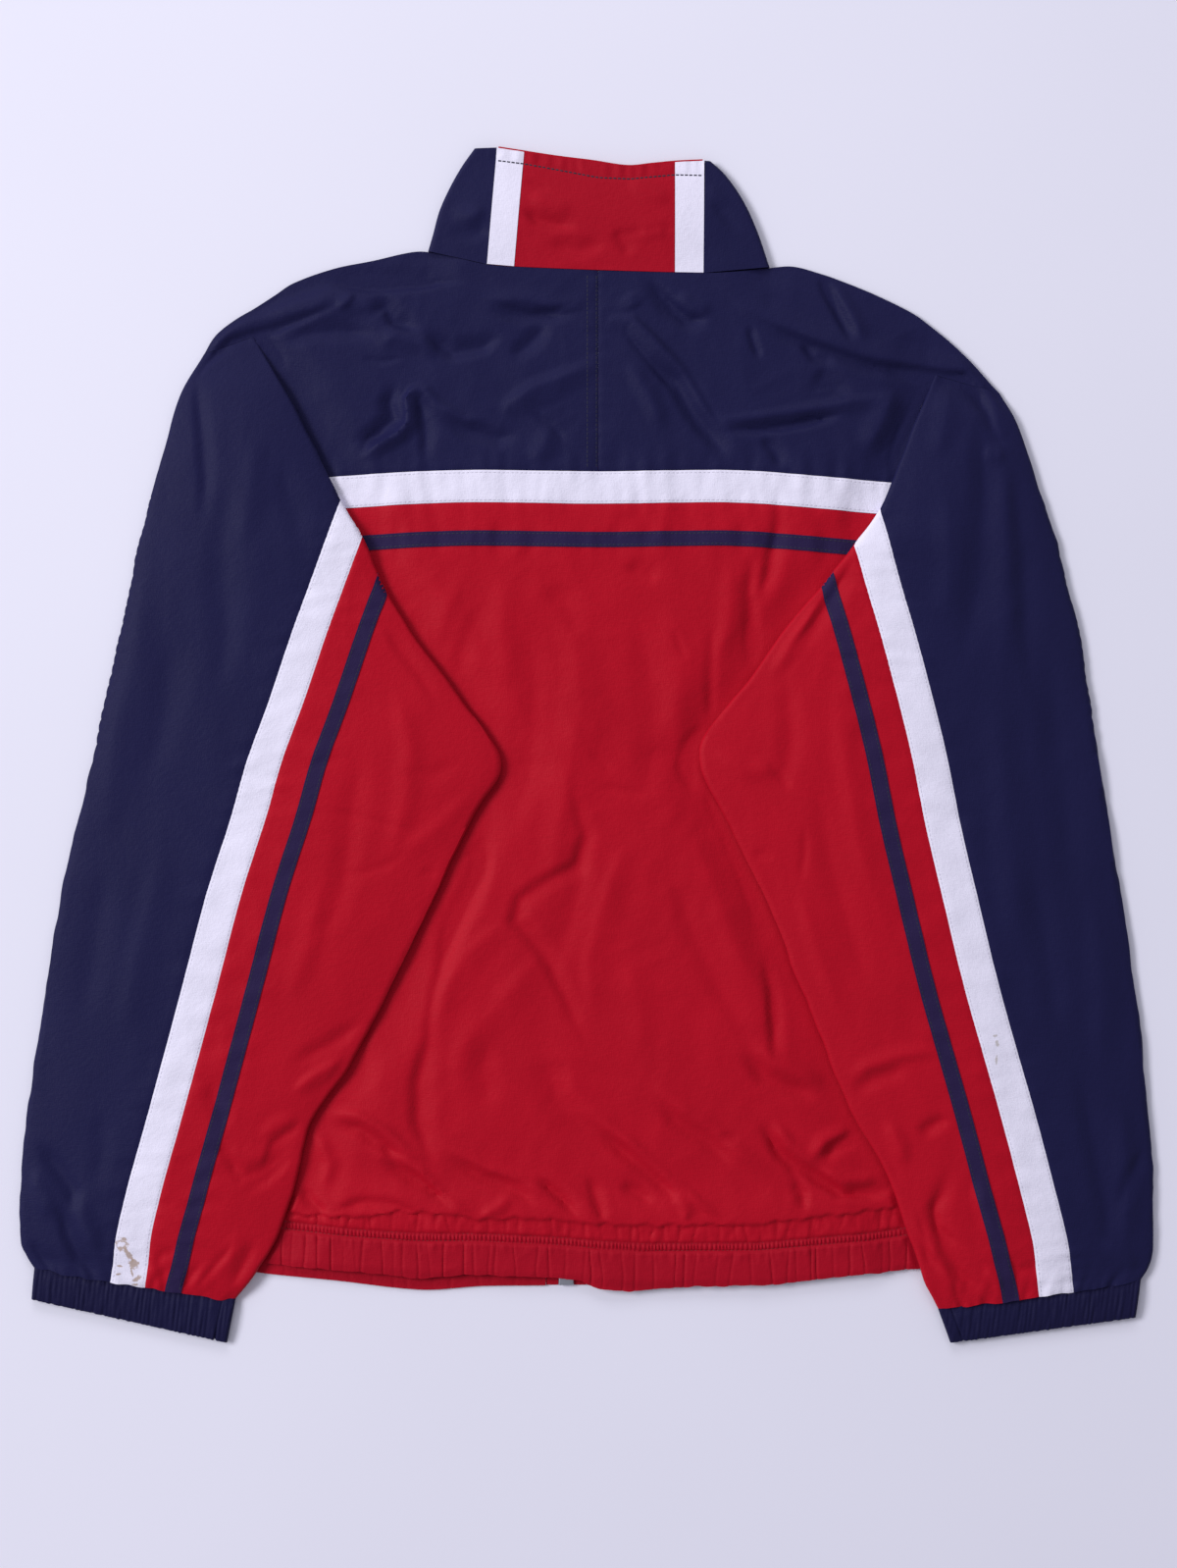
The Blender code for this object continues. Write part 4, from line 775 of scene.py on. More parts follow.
def lattice(low, high, pitch):
    xs = np.arange(low[0], high[0] + pitch, pitch)
    ys = np.arange(low[1], high[1] + pitch, pitch * 0.866)
    grid_x, grid_y = np.meshgrid(xs, ys)
    grid_x[1::2] += pitch / 2.0
    return grid_x.ravel(), grid_y.ravel()


def filled(outline, pitch, fine_below=None):
    """Plan points and triangles inside an outline, closer together below a line where one is given."""
    low, high = outline.min(0), outline.max(0)
    x, y = lattice(low, high, pitch)
    room = np.full(x.shape, EDGE_ROOM * pitch)
    if fine_below is not None:
        wide = y > along_line(fine_below, x)
        fine_x, fine_y = lattice(low, (high[0], fine_below[:, 1].max()), FINE_PITCH)
        close = fine_y < along_line(fine_below, fine_x)
        x, y = np.append(x[wide], fine_x[close]), np.append(y[wide], fine_y[close])
        room = np.append(room[wide], np.full(close.sum(), EDGE_ROOM * FINE_PITCH))
    hit = np.zeros(x.shape, bool)
    near = np.full(x.shape, np.inf)
    for a, b in zip(outline, np.roll(outline, -1, 0)):
        crosses = (a[1] > y) != (b[1] > y)
        rise = b[1] - a[1] or 1e-9
        hit ^= crosses & (x < a[0] + (y - a[1]) * (b[0] - a[0]) / rise)
        near = np.minimum(near, np.hypot(x - a[0], y - a[1]))
    keep = hit & (near > room)
    points = [Vector(p) for p in (*outline, *zip(x[keep], y[keep]))]
    count = len(outline)
    found = delaunay_2d_cdt(points, [(i, (i + 1) % count) for i in range(count)], [], 1, 1e-4)
    plan, faces = np.array([(p.x, p.y) for p in found[0]]), np.array(found[2])
    a, b, c = np.moveaxis(plan[faces], 1, 0)
    back = np.cross(b - a, c - a) < 0
    faces[back] = faces[back][:, ::-1]
    return plan, faces


def put(name, data):
    """An object of the scene, with its mesh, light or camera."""
    made = bpy.data.objects.new(name, data)
    bpy.context.scene.collection.objects.link(made)
    return made


def new_mesh(name, points, faces, material):
    mesh = bpy.data.meshes.new(name)
    mesh.from_pydata((np.reshape(points, (-1, 3)) * MM).tolist(), [], faces)
    mesh.materials.append(material)
    return mesh


def new_piece(node, points, faces, grain, material, thickness=SHELL, ending="_cloth"):
    """A piece that stands for its CAD node, hung under the root body in its place. Cloth is made a thin
    shell.
    """
    mesh = new_mesh(node + ending, points, faces.tolist(), material)
    layer = mesh.uv_layers.new(name="grain")
    corners = np.zeros(len(mesh.loops), int)
    mesh.loops.foreach_get("vertex_index", corners)
    layer.data.foreach_set("uv", (grain[corners] * MM).ravel())
    made = put(node + ending, mesh)
    if thickness:
        solid = made.modifiers.new("thickness", "SOLIDIFY")
        solid.thickness = thickness * MM
        solid.offset = 0.0
        solid.use_even_offset = False
        apply_modifiers(made)
    finish_piece(made, node)


def apply_modifiers(made):
    graph = bpy.context.evaluated_depsgraph_get()
    done = bpy.data.meshes.new_from_object(made.evaluated_get(graph))
    old = made.data
    made.modifiers.clear()
    made.data = done
    bpy.data.meshes.remove(old)


def finish_piece(made, node):
    made.data.shade_smooth()
    made.data.set_sharp_from_angle(angle=RIM_ANGLE)
    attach(made, "root")
    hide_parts(node)


def to_rows(outline):
    """Moves a panel's lower edge to the upper row of stitches."""
    x, y = outline.T
    low = y < along_line(HEM_LINE, x) + 1.0
    return np.column_stack([x, np.where(low, along_line(HEM_ROWS, x) + ROW_MARGIN, y)])


def flat_piece(name, middle, material, pitch=SMALL_PITCH, fine_below=None, reshape=np.array):
    """A piece cut as its CAD node is, whose middle surface lies at middle(x, y)."""
    plan, faces = filled(reshape(rounded(node_outline(name), pitch)), pitch, fine_below)
    points = np.column_stack([plan, middle(*plan.T)])
    new_piece(name, points, faces, plan, material)


def grid_piece(node, points, grain, material, flipped):
    """A piece from a grid of places, with every face outward."""
    rows, columns = points.shape[:2]
    low = (np.arange(rows - 1)[:, None] * columns + np.arange(columns - 1)).ravel()
    faces = np.stack([low, low + 1, low + columns + 1, low + columns], 1)
    grain = np.stack(np.broadcast_arrays(*grain), -1).reshape(-1, 2)
    new_piece(node, points, faces[:, ::-1] if flipped else faces, grain, material)


Cross = namedtuple("Cross", "outer along width radius flat edge stripe rest puff")


class Sleeve:
    """One folded sleeve. Its cloth is placed by row, and by distance round it from the outer fold.

    The distance grows inwards over the upper side, round the inner fold and back under it. Below
    zero it runs round the outer fold and along the underside.
    """

    def __init__(self, table, side, folds, seed):
        self.table = table
        self.last = len(table.puff) - 1
        self.side = side
        self.turn = 1.0 if side == "left" else -1.0
        self.folds = folds
        self.seed = seed

    def across(self, place):
        """The section at a row, or at a row between two."""
        here = Section(*[monotone(column, place) for column in self.table])
        outer = np.stack([here.outer_x, here.outer_y], -1)
        run = np.stack([here.fold_x, here.fold_y], -1) - outer
        reach = np.hypot(run[..., 0], run[..., 1])
        per_x = reach / (here.fold_x - here.outer_x)
        width = reach + SHOULDER_CLOSE * (1.0 - smooth(place - 1.0))
        radius = mix(SHOULDER_FOLD_R, FOLD_R, smooth(place))
        return Cross(outer, run / reach[..., None], width, radius, flat=width - 2.0 * radius,
                     edge=(here.side_x - here.outer_x) * per_x - RAMP_START,
                     stripe=(here.stripe_x - here.outer_x) * per_x - radius,
                     rest=here.over * SLEEVE_REST, puff=here.puff * SLEEVE_PUFF)

    def limit(self, place, lip=LIP):
        """How far round the inner fold the cloth of the upper side may reach."""
        cross = self.across(place)
        return cross.flat + math.pi * cross.radius + lip * np.clip(place - LIP_ROW, 0.0, 1.0)

    def points(self, place, distance, lift=0.0):
        """Places on the sleeve: its plain folded form, then creases, wavy folds and the full cuff end."""
        cross = self.across(place)
        flat, radius = cross.flat, cross.radius
        turned = math.pi * radius
        share = np.clip(distance / flat, 0.0, 1.0)
        inner_turn = np.clip((distance - flat) / radius, 0.0, math.pi)
        outer_turn = np.clip(-distance / radius, 0.0, math.pi)
        plan = radius + np.clip(distance, 0.0, flat)
        plan += radius * np.sin(inner_turn) - radius * np.sin(outer_turn)
        plan += np.maximum(0.0, -distance - turned) - np.maximum(0.0, distance - flat - turned)
        upper = CLOTH / 2.0 + 2.0 * radius + cross.rest * share
        upper += cross.puff * np.sin(math.pi * share) ** 0.8
        upper += radius * (np.cos(inner_turn) - 1.0) + radius * (np.cos(outer_turn) - 1.0)
        ramp = np.clip((plan - cross.edge + RAMP) / RAMP, 0.0, 1.0)
        lower = CLOTH / 2.0 + cross.rest * np.where(distance > flat, 1.0, ramp)
        below = (distance < -turned) | (distance > flat + turned)
        height = np.where(below, lower, upper)
        x, y = np.moveaxis(cross.outer + cross.along * plan[..., None], -1, 0)

        worn = crumple(x, y * 0.6, self.seed) * SLEEVE_CRUMPLE
        relief = crease_height(self.folds, x, y) * 1.1 + crease_height(SHOULDER_FOLDS, x, y)
        relief += mix(crumple(x, y, 1.0) * BACK_CRUMPLE, worn, smooth(place / 1.5))
        relief += self.seams(place, distance, cross)
        edge = np.minimum(distance, flat - distance)
        room = np.maximum(0.0, height - lower - LAYER_GAP)
        height += np.where(below, 0.0, np.maximum(smooth(edge / 9.0) * relief, -room))

        near_fold = smooth(1.0 - np.abs(edge) / 14.0) * smooth((place - 1.0) / 2.0)
        near_fold *= smooth((self.last - place) / 1.5)
        wobble = 0.6 * waves(x * 0.3, y, 24.0, self.seed + 2.0) + 0.25 * waves(x * 0.3, y, 9.0, self.seed)
        shift = wobble * near_fold
        end = np.where(below, 0.0, smooth(place - self.last + 1.0) * smooth(edge / 8.0))
        full = 0.45 + 0.55 * waves(distance, 0.0 * distance, 17.0, self.seed + 4.0)
        hang = OVERHANG * end * full * self.turn
        along_x, along_y = np.moveaxis(cross.along, -1, 0)
        x = x + along_x * shift + along_y * hang
        y = y + along_y * shift - along_x * hang
        return np.stack([x, y, height + lift + end], -1)

    def seams(self, place, distance, cross):
        """Puckers across the seams of the stripe and the tape, and gathers above the cuff."""
        above = (self.last - place) * 16.0
        total = bell(above, 14.0) * waves(distance, above * 0.2, 5.5, self.seed + 8.0)
        for number, offset in enumerate((0.0, STRIPE, STRIPE + STRIPE_TO_TAPE + 6.0), 1):
            away = distance - cross.stripe - offset
            total += 0.6 * bell(away, 12.0) * waves(place * 40.0, away * 0.3, 9.0, self.seed + number)
            if offset <= STRIPE:
                total -= 0.45 * bell(away, 1.3)
        return total

    def rows(self, start):
        """Rows from start to the cuff, evenly spaced down the sleeve, and their whole length."""
        fine = np.linspace(start, self.last, 2000)
        cross = self.across(fine)
        gone = run_length(cross.outer + cross.along * (cross.width / 2.0)[:, None])
        count = int(gone[-1] / SLEEVE_STEP) + 2
        return np.interp(np.linspace(0.0, gone[-1], count), gone, fine), gone[-1]

    def first(self, inward, room):
        """The first row at which a piece that starts so far inward of the stripe's edge has room."""
        fine = np.linspace(2.0, 6.0, 800)
        return fine[np.argmax(self.limit(fine) - self.stripe_start(fine) - inward > room)]

    def stripe_start(self, place):
        return self.across(place).stripe

    def tape_start(self, place):
        """Distance of the tape's outer edge, which the cuff draws nearer to the stripe."""
        drawn = CUFF_DRAW * smooth((place - self.last + 3.0) / 3.0)
        return self.stripe_start(place) + STRIPE + STRIPE_TO_TAPE - drawn

    def piece(self, name, rows, low, high, shares, material, lift=0.0, straight=False):
        """A piece of the sleeve, between two distances that are given for every row."""
        place, length = rows
        low, high = low[:, None], np.minimum(high, self.limit(place))[:, None]
        distance = mix(low, high, shares)
        points = self.points(np.broadcast_to(place[:, None], distance.shape), distance, lift)
        down = np.linspace(0.0, length, len(place))[:, None]
        grain = (distance - low if straight else distance), -down
        grid_piece(f"{name}_{self.side}", points, grain, material, self.side == "left")

    def build(self, cloth):
        """The outer sleeve, the stripe, the inner sleeve and the tape on it."""
        place, length = self.rows(0.0)
        shares = np.concatenate([np.linspace(0.0, 0.42, 16), np.linspace(0.42, 1.0, 66)[1:]])
        high = np.minimum(self.stripe_start(place), self.limit(place, 0.0))
        low = -self.limit(place, -LIP - 0.3)
        self.piece("sleeve_top", (place, length), low, high, shares, cloth["navy"])
        place, length = self.rows(self.first(0.0, 1.0))
        low = self.stripe_start(place)
        self.piece("sleeve_stripe", (place, length), low, low + STRIPE, np.linspace(0.0, 1.0, 13),
                   cloth["stripe_" + self.side], straight=True)
        place, length = self.rows(self.first(STRIPE, 1.0))
        low = self.stripe_start(place) + STRIPE
        self.piece("sleeve_under", (place, length), low, np.inf, np.linspace(0.0, 1.0, 64), cloth["red"])
        place, length = self.rows(self.first(STRIPE + STRIPE_TO_TAPE, 1.0))
        low = self.tape_start(place)
        self.piece("sleeve_tape", (place, length), low, low + SLEEVE_TAPE, np.linspace(0.0, 1.0, 7),
                   cloth["tape"], TAPE_LIFT, True)

    def stitch_line(self, inward, edge, inset, lift):
        """A row of stitches beside an edge, from where a piece so far inward has room."""
        place, _ = self.rows(self.first(inward, 6.0))
        distance = edge(place) + inset
        shown = distance < self.across(place).flat
        return self.points(place[shown], distance[shown], lift)


def build_cuff(sleeve, edge, cloth):
    """Elastic cuff: a flattened ring with narrow uneven ribs and a scalloped lower edge."""
    table = sleeve.table
    top_edge = np.array([(table.outer_x[-1], table.outer_y[-1]), (table.fold_x[-1], table.fold_y[-1])])
    edge = np.array(edge, float)
    down = edge[0] - top_edge[0]
    down /= np.hypot(*down)
    turn = np.linspace(0.0, math.pi, 7)[1:-1]
    straight = np.linspace(0.0, 1.0, 300)
    shares = np.linspace(0.0, 1.0, 15)
    middle = CLOTH / 2.0 + CUFF_R
    grid = []
    for share in shares:
        outer, inner = mix(top_edge, edge, share)
        width = np.hypot(*(inner - outer))
        flat = width - 2.0 * CUFF_R
        across = straight * flat
        down_it = np.full(across.shape, share)
        phase = across / RIB_PITCH * 2.0 * math.pi + 2.4 * waves(across, 3.0 * down_it, 16.0, 3.0)
        rib = 0.22 * np.sin(phase) * (0.25 + np.abs(waves(across, 9.0 * down_it, 11.0, 5.0)))
        rib += 0.28 * waves(across, 7.0 * down_it, 3.6, 8.0)
        rib -= 0.7 * bell(across - flat + 6.5, 0.8) + 0.6 * bell(share - 0.12, 0.05)
        swell = 1.3 * np.sin(math.pi * share) ** 0.6
        side_x, side_z = CUFF_R * np.sin(turn), (CUFF_R + swell / 2) * np.cos(turn)
        ring_x = np.concatenate([CUFF_R + across, CUFF_R + flat + side_x, CUFF_R + across[::-1],
                                 CUFF_R - side_x, [CUFF_R]])
        top = middle + CUFF_R + rib + swell
        ring_z = np.concatenate([top, middle + side_z + swell / 2, 0.0 * across + CLOTH / 2.0,
                                 middle - side_z + swell / 2, top[:1]])
        scallop = np.zeros(len(ring_x))
        scallop[:len(rib)], scallop[-1] = rib, rib[0]
        scallop *= share**3 * 0.9
        plan = outer + (inner - outer) / width * ring_x[:, None] + down * scallop[:, None]
        grid.append(np.column_stack([plan, ring_z]))
    points = np.array(grid)
    grain = run_length(points[0][:, [0, 2]]), -shares[:, None] * CUFF_LENGTH
    grid_piece("cuff_" + sleeve.side, points, grain, cloth["cuff"], sleeve.side == "left")


def zip_x(y):
    return mix(ZIP_LOW[0], ZIP_HIGH[0], (y - ZIP_LOW[1]) / (ZIP_HIGH[1] - ZIP_LOW[1]))


def build_collar_side(side, table, cloth):
    """Collar side: over, round its fold, and flat beneath to the zip."""
    place = np.linspace(0.0, len(table.zip_y) - 1.0, 36)
    here = CollarRow(*[monotone(column, place) for column in table])
    sign = -1.0 if side == "left" else 1.0
    radius = COLLAR_REST / 2.0
    fold = np.stack([here.fold_x, here.fold_y], 1)[:, None]
    seam = np.stack([here.seam_x + sign * 0.1, here.seam_y], 1)[:, None]
    end = np.stack([zip_x(here.zip_y) + sign * ZIP_HALF, here.zip_y], 1)[:, None]
    reach = np.linalg.norm(seam - fold, axis=2)
    along = (seam - fold) / reach[..., None]
    turn_in = np.minimum(radius, reach / 2.0)
    angles = np.radians(np.linspace(90.0, -90.0, 9)[1:-1])
    plan_over = mix(turn_in, reach, np.linspace(1.0, 0.0, 18))
    plan_turn = turn_in * (1.0 - np.cos(angles))
    xy_over, xy_turn = [fold + along * plan[..., None] for plan in (plan_over, plan_turn)]
    xy_low = mix(fold + along * turn_in[..., None], end, np.linspace(0.0, 1.0, 14)[:, None])
    z_over = mix(CLOTH / 2.0 + COLLAR_REST, collar_middle(*np.moveaxis(xy_over, -1, 0)),
                 smooth(plan_over / 26.0 - 0.06))
    z_turn = CLOTH / 2.0 + radius + radius * np.sin(angles) + 0.0 * plan_turn
    z = np.concatenate([z_over, z_turn, np.full(xy_low.shape[:2], CLOTH / 2.0)], 1)
    points = np.concatenate([np.concatenate([xy_over, xy_turn, xy_low], 1), z[..., None]], -1)
    grain = run_length(points), place[:, None] * COLLAR_ROW
    grid_piece("collar_side_" + side, points, grain, cloth["navy"], side == "left")


def build_stitches(name, lines, material, width=0.6):
    """Rows of machine stitches on the cloth, as one mesh."""
    pairs = []
    for line in lines:
        gone = run_length(line)
        at = np.arange(STITCH_GAP, gone[-1] - STITCH, STITCH + STITCH_GAP)
        ends = [[np.interp(at + more, gone, column) for column in line.T] for more in (0.0, STITCH)]
        pairs.append(np.moveaxis(ends, -1, 0))
    starts, ends = np.concatenate(pairs).swapaxes(0, 1)
    up = np.array((0.0, 0.0, 1.0))
    run = ends - starts
    run /= np.linalg.norm(run, axis=1)[:, None]
    side = np.cross(up, run)
    side /= np.linalg.norm(side, axis=1)[:, None]
    corners = []
    for here, sink in ((starts, 0.5), (ends, -0.5)):
        corners += [here + side * width / 2, here + up * STITCH_RISE + run * sink, here - side * width / 2]
    points = np.stack(corners, 1)
    pattern = ((0, 1, 4, 3), (1, 2, 5, 4), (0, 2, 1), (3, 4, 5))
    faces = [[6 * stitch + i for i in face] for stitch in range(len(points)) for face in pattern]
    mesh = new_mesh(name, points, faces, material)
    mesh.shade_smooth()
    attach(put(name, mesh), "root")


def on_cloth(middle, x, y, lift=0.0):
    """Places on the outer face of cloth whose middle surface lies at middle(x, y)."""
    x, y = np.broadcast_arrays(np.asarray(x, float), np.asarray(y, float))
    return np.column_stack([x, y, middle(x, y) + SHELL / 2.0 + lift])


def fill(tree, node, inputs):
    """Gives a node's inputs their values, or links them to the outputs of other nodes."""
    for key, value in inputs.items():
        if isinstance(value, bpy.types.NodeSocket):
            tree.links.new(value, node.inputs[key])
        else:
            node.inputs[key].default_value = value


def new_node(tree, kind, inputs, output=0, **settings):
    """Makes a node and gives back one of its outputs."""
    made = tree.nodes.new("ShaderNode" + kind)
    for key, value in settings.items():
        setattr(made, key, value)
    fill(tree, made, inputs)
    return made.outputs[output]


def new_material(name, **shader_inputs):
    made = bpy.data.materials.new(name)
    made.use_nodes = True
    shader = made.node_tree.nodes["Principled BSDF"]
    fill(made.node_tree, shader, {key.replace("_", " "): value for key, value in shader_inputs.items()})
    return made, made.node_tree, shader


def noise_at(tree, scale, detail=2.0):
    """Noise in the grain of the cloth, so many bumps to a metre across and along it."""
    grain = new_node(tree, "UVMap", {}, "UV", uv_map="grain")
    place = new_node(tree, "Mapping", {"Vector": grain, "Scale": (*scale, 1.0)}, "Vector")
    return new_node(tree, "TexNoise", {"Vector": place, "Scale": 1.0, "Detail": detail}, "Fac")


def ramp(tree, source, low, high):
    """A blend between two stops, each given as its place and its colour."""
    made = tree.nodes.new("ShaderNodeValToRGB")
    for element, (position, colour) in zip(made.color_ramp.elements, (low, high)):
        element.position, element.color = position, (*colour, 1.0)
    tree.links.new(source, made.inputs["Fac"])
    return made.outputs["Color"]


def calc(tree, operation, first, second):
    return new_node(tree, "Math", {0: first, 1: second}, operation=operation)


def cloth_material(name, colour, roughness, sheen, streak=0.06, spots=()):
    """Woven nylon: fine crossing threads, longer slubs across, and slightly uneven dye."""
    made, tree, shader = new_material(name, Roughness=roughness, Sheen_Weight=sheen,
                                      Sheen_Roughness=0.45, Specular_IOR_Level=0.08)
    tint = np.array(colour)
    base = ramp(tree, noise_at(tree, (14.0, 14.0), 4.0), (0.3, tint * 0.96), (0.7, tint * 1.03))
    streaks = ramp(tree, noise_at(tree, (90.0, 1700.0)), (0.3, (1.0 - streak,) * 3),
                   (0.7, (1.0 + 0.4 * streak,) * 3))
    final = new_node(tree, "Mix", {"Factor": 1.0, "A": base, "B": streaks}, "Result",
                     data_type="RGBA", blend_type="MULTIPLY")
    for spot in spots:
        final = stained(tree, final, Spot(*spot))
    threads = calc(tree, "ADD", noise_at(tree, (1900.0, 260.0)), noise_at(tree, (260.0, 1900.0)))
    puckers = calc(tree, "MULTIPLY", noise_at(tree, (240.0, 240.0), 3.0), 1.6)
    bump = new_node(tree, "Bump", {"Strength": 0.35, "Distance": 0.6 * MM,
                                   "Height": calc(tree, "ADD", threads, puckers)}, "Normal")
    fill(tree, shader, {"Base Color": final, "Normal": bump})
    return made


def stained(tree, base, spot):
    """One stain with a ragged edge, placed where it is on the garment."""
    place = new_node(tree, "TexCoord", {}, "Object")
    ragged = new_node(tree, "TexNoise", {"Scale": 420.0, "Vector": place}, "Fac")
    turned = new_node(tree, "Mapping", {
        "Vector": place, "Location": (spot.x * MM, spot.y * MM, 0.0),
        "Rotation": (0.0, 0.0, math.radians(spot.turn)),
        "Scale": (spot.half_x * MM, spot.half_y * MM, 1000.0)}, "Vector", vector_type="TEXTURE")
    length = new_node(tree, "VectorMath", {0: turned}, "Value", operation="LENGTH")
    uneven = calc(tree, "MULTIPLY", calc(tree, "SUBTRACT", ragged, 0.5), 1.6)
    away = calc(tree, "ADD", length, uneven)
    if spot.ring:
        from_ring = calc(tree, "ABSOLUTE", calc(tree, "SUBTRACT", away, 0.8), 0.0)
        away = calc(tree, "ADD", from_ring, 0.62)
    mask = ramp(tree, away, (0.72, (0.85, 0.85, 0.85)), (0.98, (0.0, 0.0, 0.0)))
    colour = STAIN_LEFT if spot.x < 0 else STAIN_RIGHT
    return new_node(tree, "Mix", {"Factor": mask, "A": base, "B": (*colour, 1.0)}, "Result",
                    data_type="RGBA")


def plain_material(name, colour, roughness, metallic=0.0, scale=60.0, change=0.045):
    """Thread, metal or floor: one colour with a little unevenness."""
    made, tree, shader = new_material(name, Roughness=roughness, Metallic=metallic)
    place = new_node(tree, "TexCoord", {}, "Object")
    spots = new_node(tree, "TexNoise", {"Scale": scale, "Vector": place}, "Fac")
    tint = np.array(colour)
    base = ramp(tree, spots, (0.3, tint * (1.0 - change)), (0.7, tint * (1.0 + change)))
    fill(tree, shader, {"Base Color": base})
    return made


def make_materials():
    """Every material by its use, from rows of its name, colour, roughness and so on."""
    cloths = {
        "navy": ("navy_weave", NAVY, 0.50, 0.02),
        "cuff": ("navy_cuff", NAVY_DARK, 0.55, 0.02),
        "tape": ("navy_tape", NAVY_TAPE, 0.60, 0.02),
        "red": ("red_weave", RED, 0.52, 0.02),
        "hem": ("red_hem", RED_DARK, 0.55, 0.02),
        "lining": ("red_lining", RED, 0.60, 0.04),
        "zip_tape": ("zip_tape", RED_DARK, 0.70, 0.05),
        "white": ("white_weave", WHITE, 0.65, 0.03, 0.02),
        "stripe_left": ("white_stripe_left", WHITE, 0.65, 0.03, 0.02, SPOTS_LEFT),
        "stripe_right": ("white_stripe_right", WHITE, 0.65, 0.03, 0.02, SPOTS_RIGHT),
    }
    others = {
        "metal": ("zip_metal_looks", METAL, 0.35, 0.9),
        "thread_navy": ("navy_thread", THREAD_NAVY, 0.7),
        "thread_red": ("red_thread", THREAD_RED, 0.7),
        "thread_white": ("white_thread", THREAD_WHITE, 0.7),
        "floor": ("pale_floor", FLOOR, 0.8, 0.0, 2.5, 0.012),
    }
    made = {use: cloth_material(*row) for use, row in cloths.items()}
    made.update({use: plain_material(*row) for use, row in others.items()})
    return made


def build_body(cloth):
    for name, colour in (("back_yoke_left", "navy"), ("back_yoke_right", "navy"), ("back_band", "white")):
        flat_piece(name, back_middle, cloth[colour])
    ruffle_top = np.array(HEM_LINE, float) + (0.0, 22.0)
    flat_piece("back_panel", back_middle, cloth["red"], PANEL_PITCH, ruffle_top, to_rows)
    build_hem(cloth)
    flat_piece("back_tape", tape_middle, cloth["tape"])
    for side in ("left", "right"):
        flat_piece("front_yoke_" + side, floor_middle, cloth["navy"], HIDDEN_PITCH)
        flat_piece("front_" + side, floor_middle, cloth["red"], HIDDEN_PITCH)
        flat_piece("hem_front_" + side, front_hem_middle, cloth["hem"], FINE_PITCH)


def build_hem(cloth):
    """The back's hem, in narrow columns that can hold its gathers, with a slightly wavy lower edge."""
    x = np.arange(HEM_LINE[0][0] + 0.2, HEM_LINE[-1][0] - 0.2, HEM_COLUMN)
    top = along_line(HEM_ROWS, x) + ROW_MARGIN
    low = along_line(HEM_EDGE, x) + 0.5 * waves(x, 0.0 * x, 9.0, 31.0)
    low += 0.25 * np.minimum(furrows(CASING_FURROWS, x, 30.0), 2.0)
    y = mix(top, low, np.linspace(0.0, 1.0, 34)[:, None])
    x = x + 0.0 * y
    points = np.stack([x, y, back_middle(x, y)], -1)
    grid_piece("hem_back", points, (x, y), cloth["hem"], True)


def build_collar(cloth):
    flat_piece("collar_back", collar_middle, cloth["hem"])
    for side in ("left", "right"):
        flat_piece("collar_strip_" + side, collar_middle, cloth["white"])
    flat_piece("collar_lining", level(COLLAR_REST - 0.3 - CLOTH / 2.0), cloth["lining"], 3.0)
    for side, table in (("left", LEFT_COLLAR), ("right", RIGHT_COLLAR)):
        build_collar_side(side, table, cloth)


def build_zip(cloth):
    """Tapes, the closed chain of teeth that grip from both sides in turn, and the two metal parts."""
    for side in ("left", "right"):
        flat_piece("zip_tape_" + side, level(CLOTH / 2.0), cloth["zip_tape"])
    low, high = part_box("zip_teeth")
    y = np.arange(low.y / MM + 2.0, high.y / MM - 2.0, TOOTH_PITCH)
    side = np.where(np.arange(len(y)) % 2, 1.0, -1.0)
    places = np.column_stack([zip_x(y) + side, y, 0.0 * y + 0.05])
    block = np.array([(-1, -1, 0), (1, -1, 0), (1, 1, 0), (-1, 1, 0),
                      (-0.7, -0.7, 1), (0.7, -0.7, 1), (0.7, 0.7, 1), (-0.7, 0.7, 1)])
    quads = np.array([(0, 3, 2, 1), (4, 5, 6, 7), (0, 1, 5, 4), (1, 2, 6, 5), (2, 3, 7, 6), (3, 0, 4, 7)])
    points = (block * TOOTH + places[:, None]).reshape(-1, 3)
    faces = (quads + len(block) * np.arange(len(y))[:, None, None]).reshape(-1, 4)
    new_piece("zip_teeth", points, faces, points[:, :2], cloth["metal"], 0.0, "_chain")
    for node in ("zip_box", "zip_slider"):
        bevelled(node, cloth["metal"])


def bevelled(node, material):
    """A copy of a small hard CAD part with rounded edges."""
    made = put(node + "_rounded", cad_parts[node].data.copy())
    made.matrix_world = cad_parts[node].matrix_world
    weld = made.modifiers.new("weld", "WELD")
    weld.merge_threshold = 1e-5
    bevel = made.modifiers.new("bevel", "BEVEL")
    bevel.width = 0.9 * MM
    bevel.segments = 3
    apply_modifiers(made)
    made.data.materials.clear()
    made.data.materials.append(material)
    finish_piece(made, node)


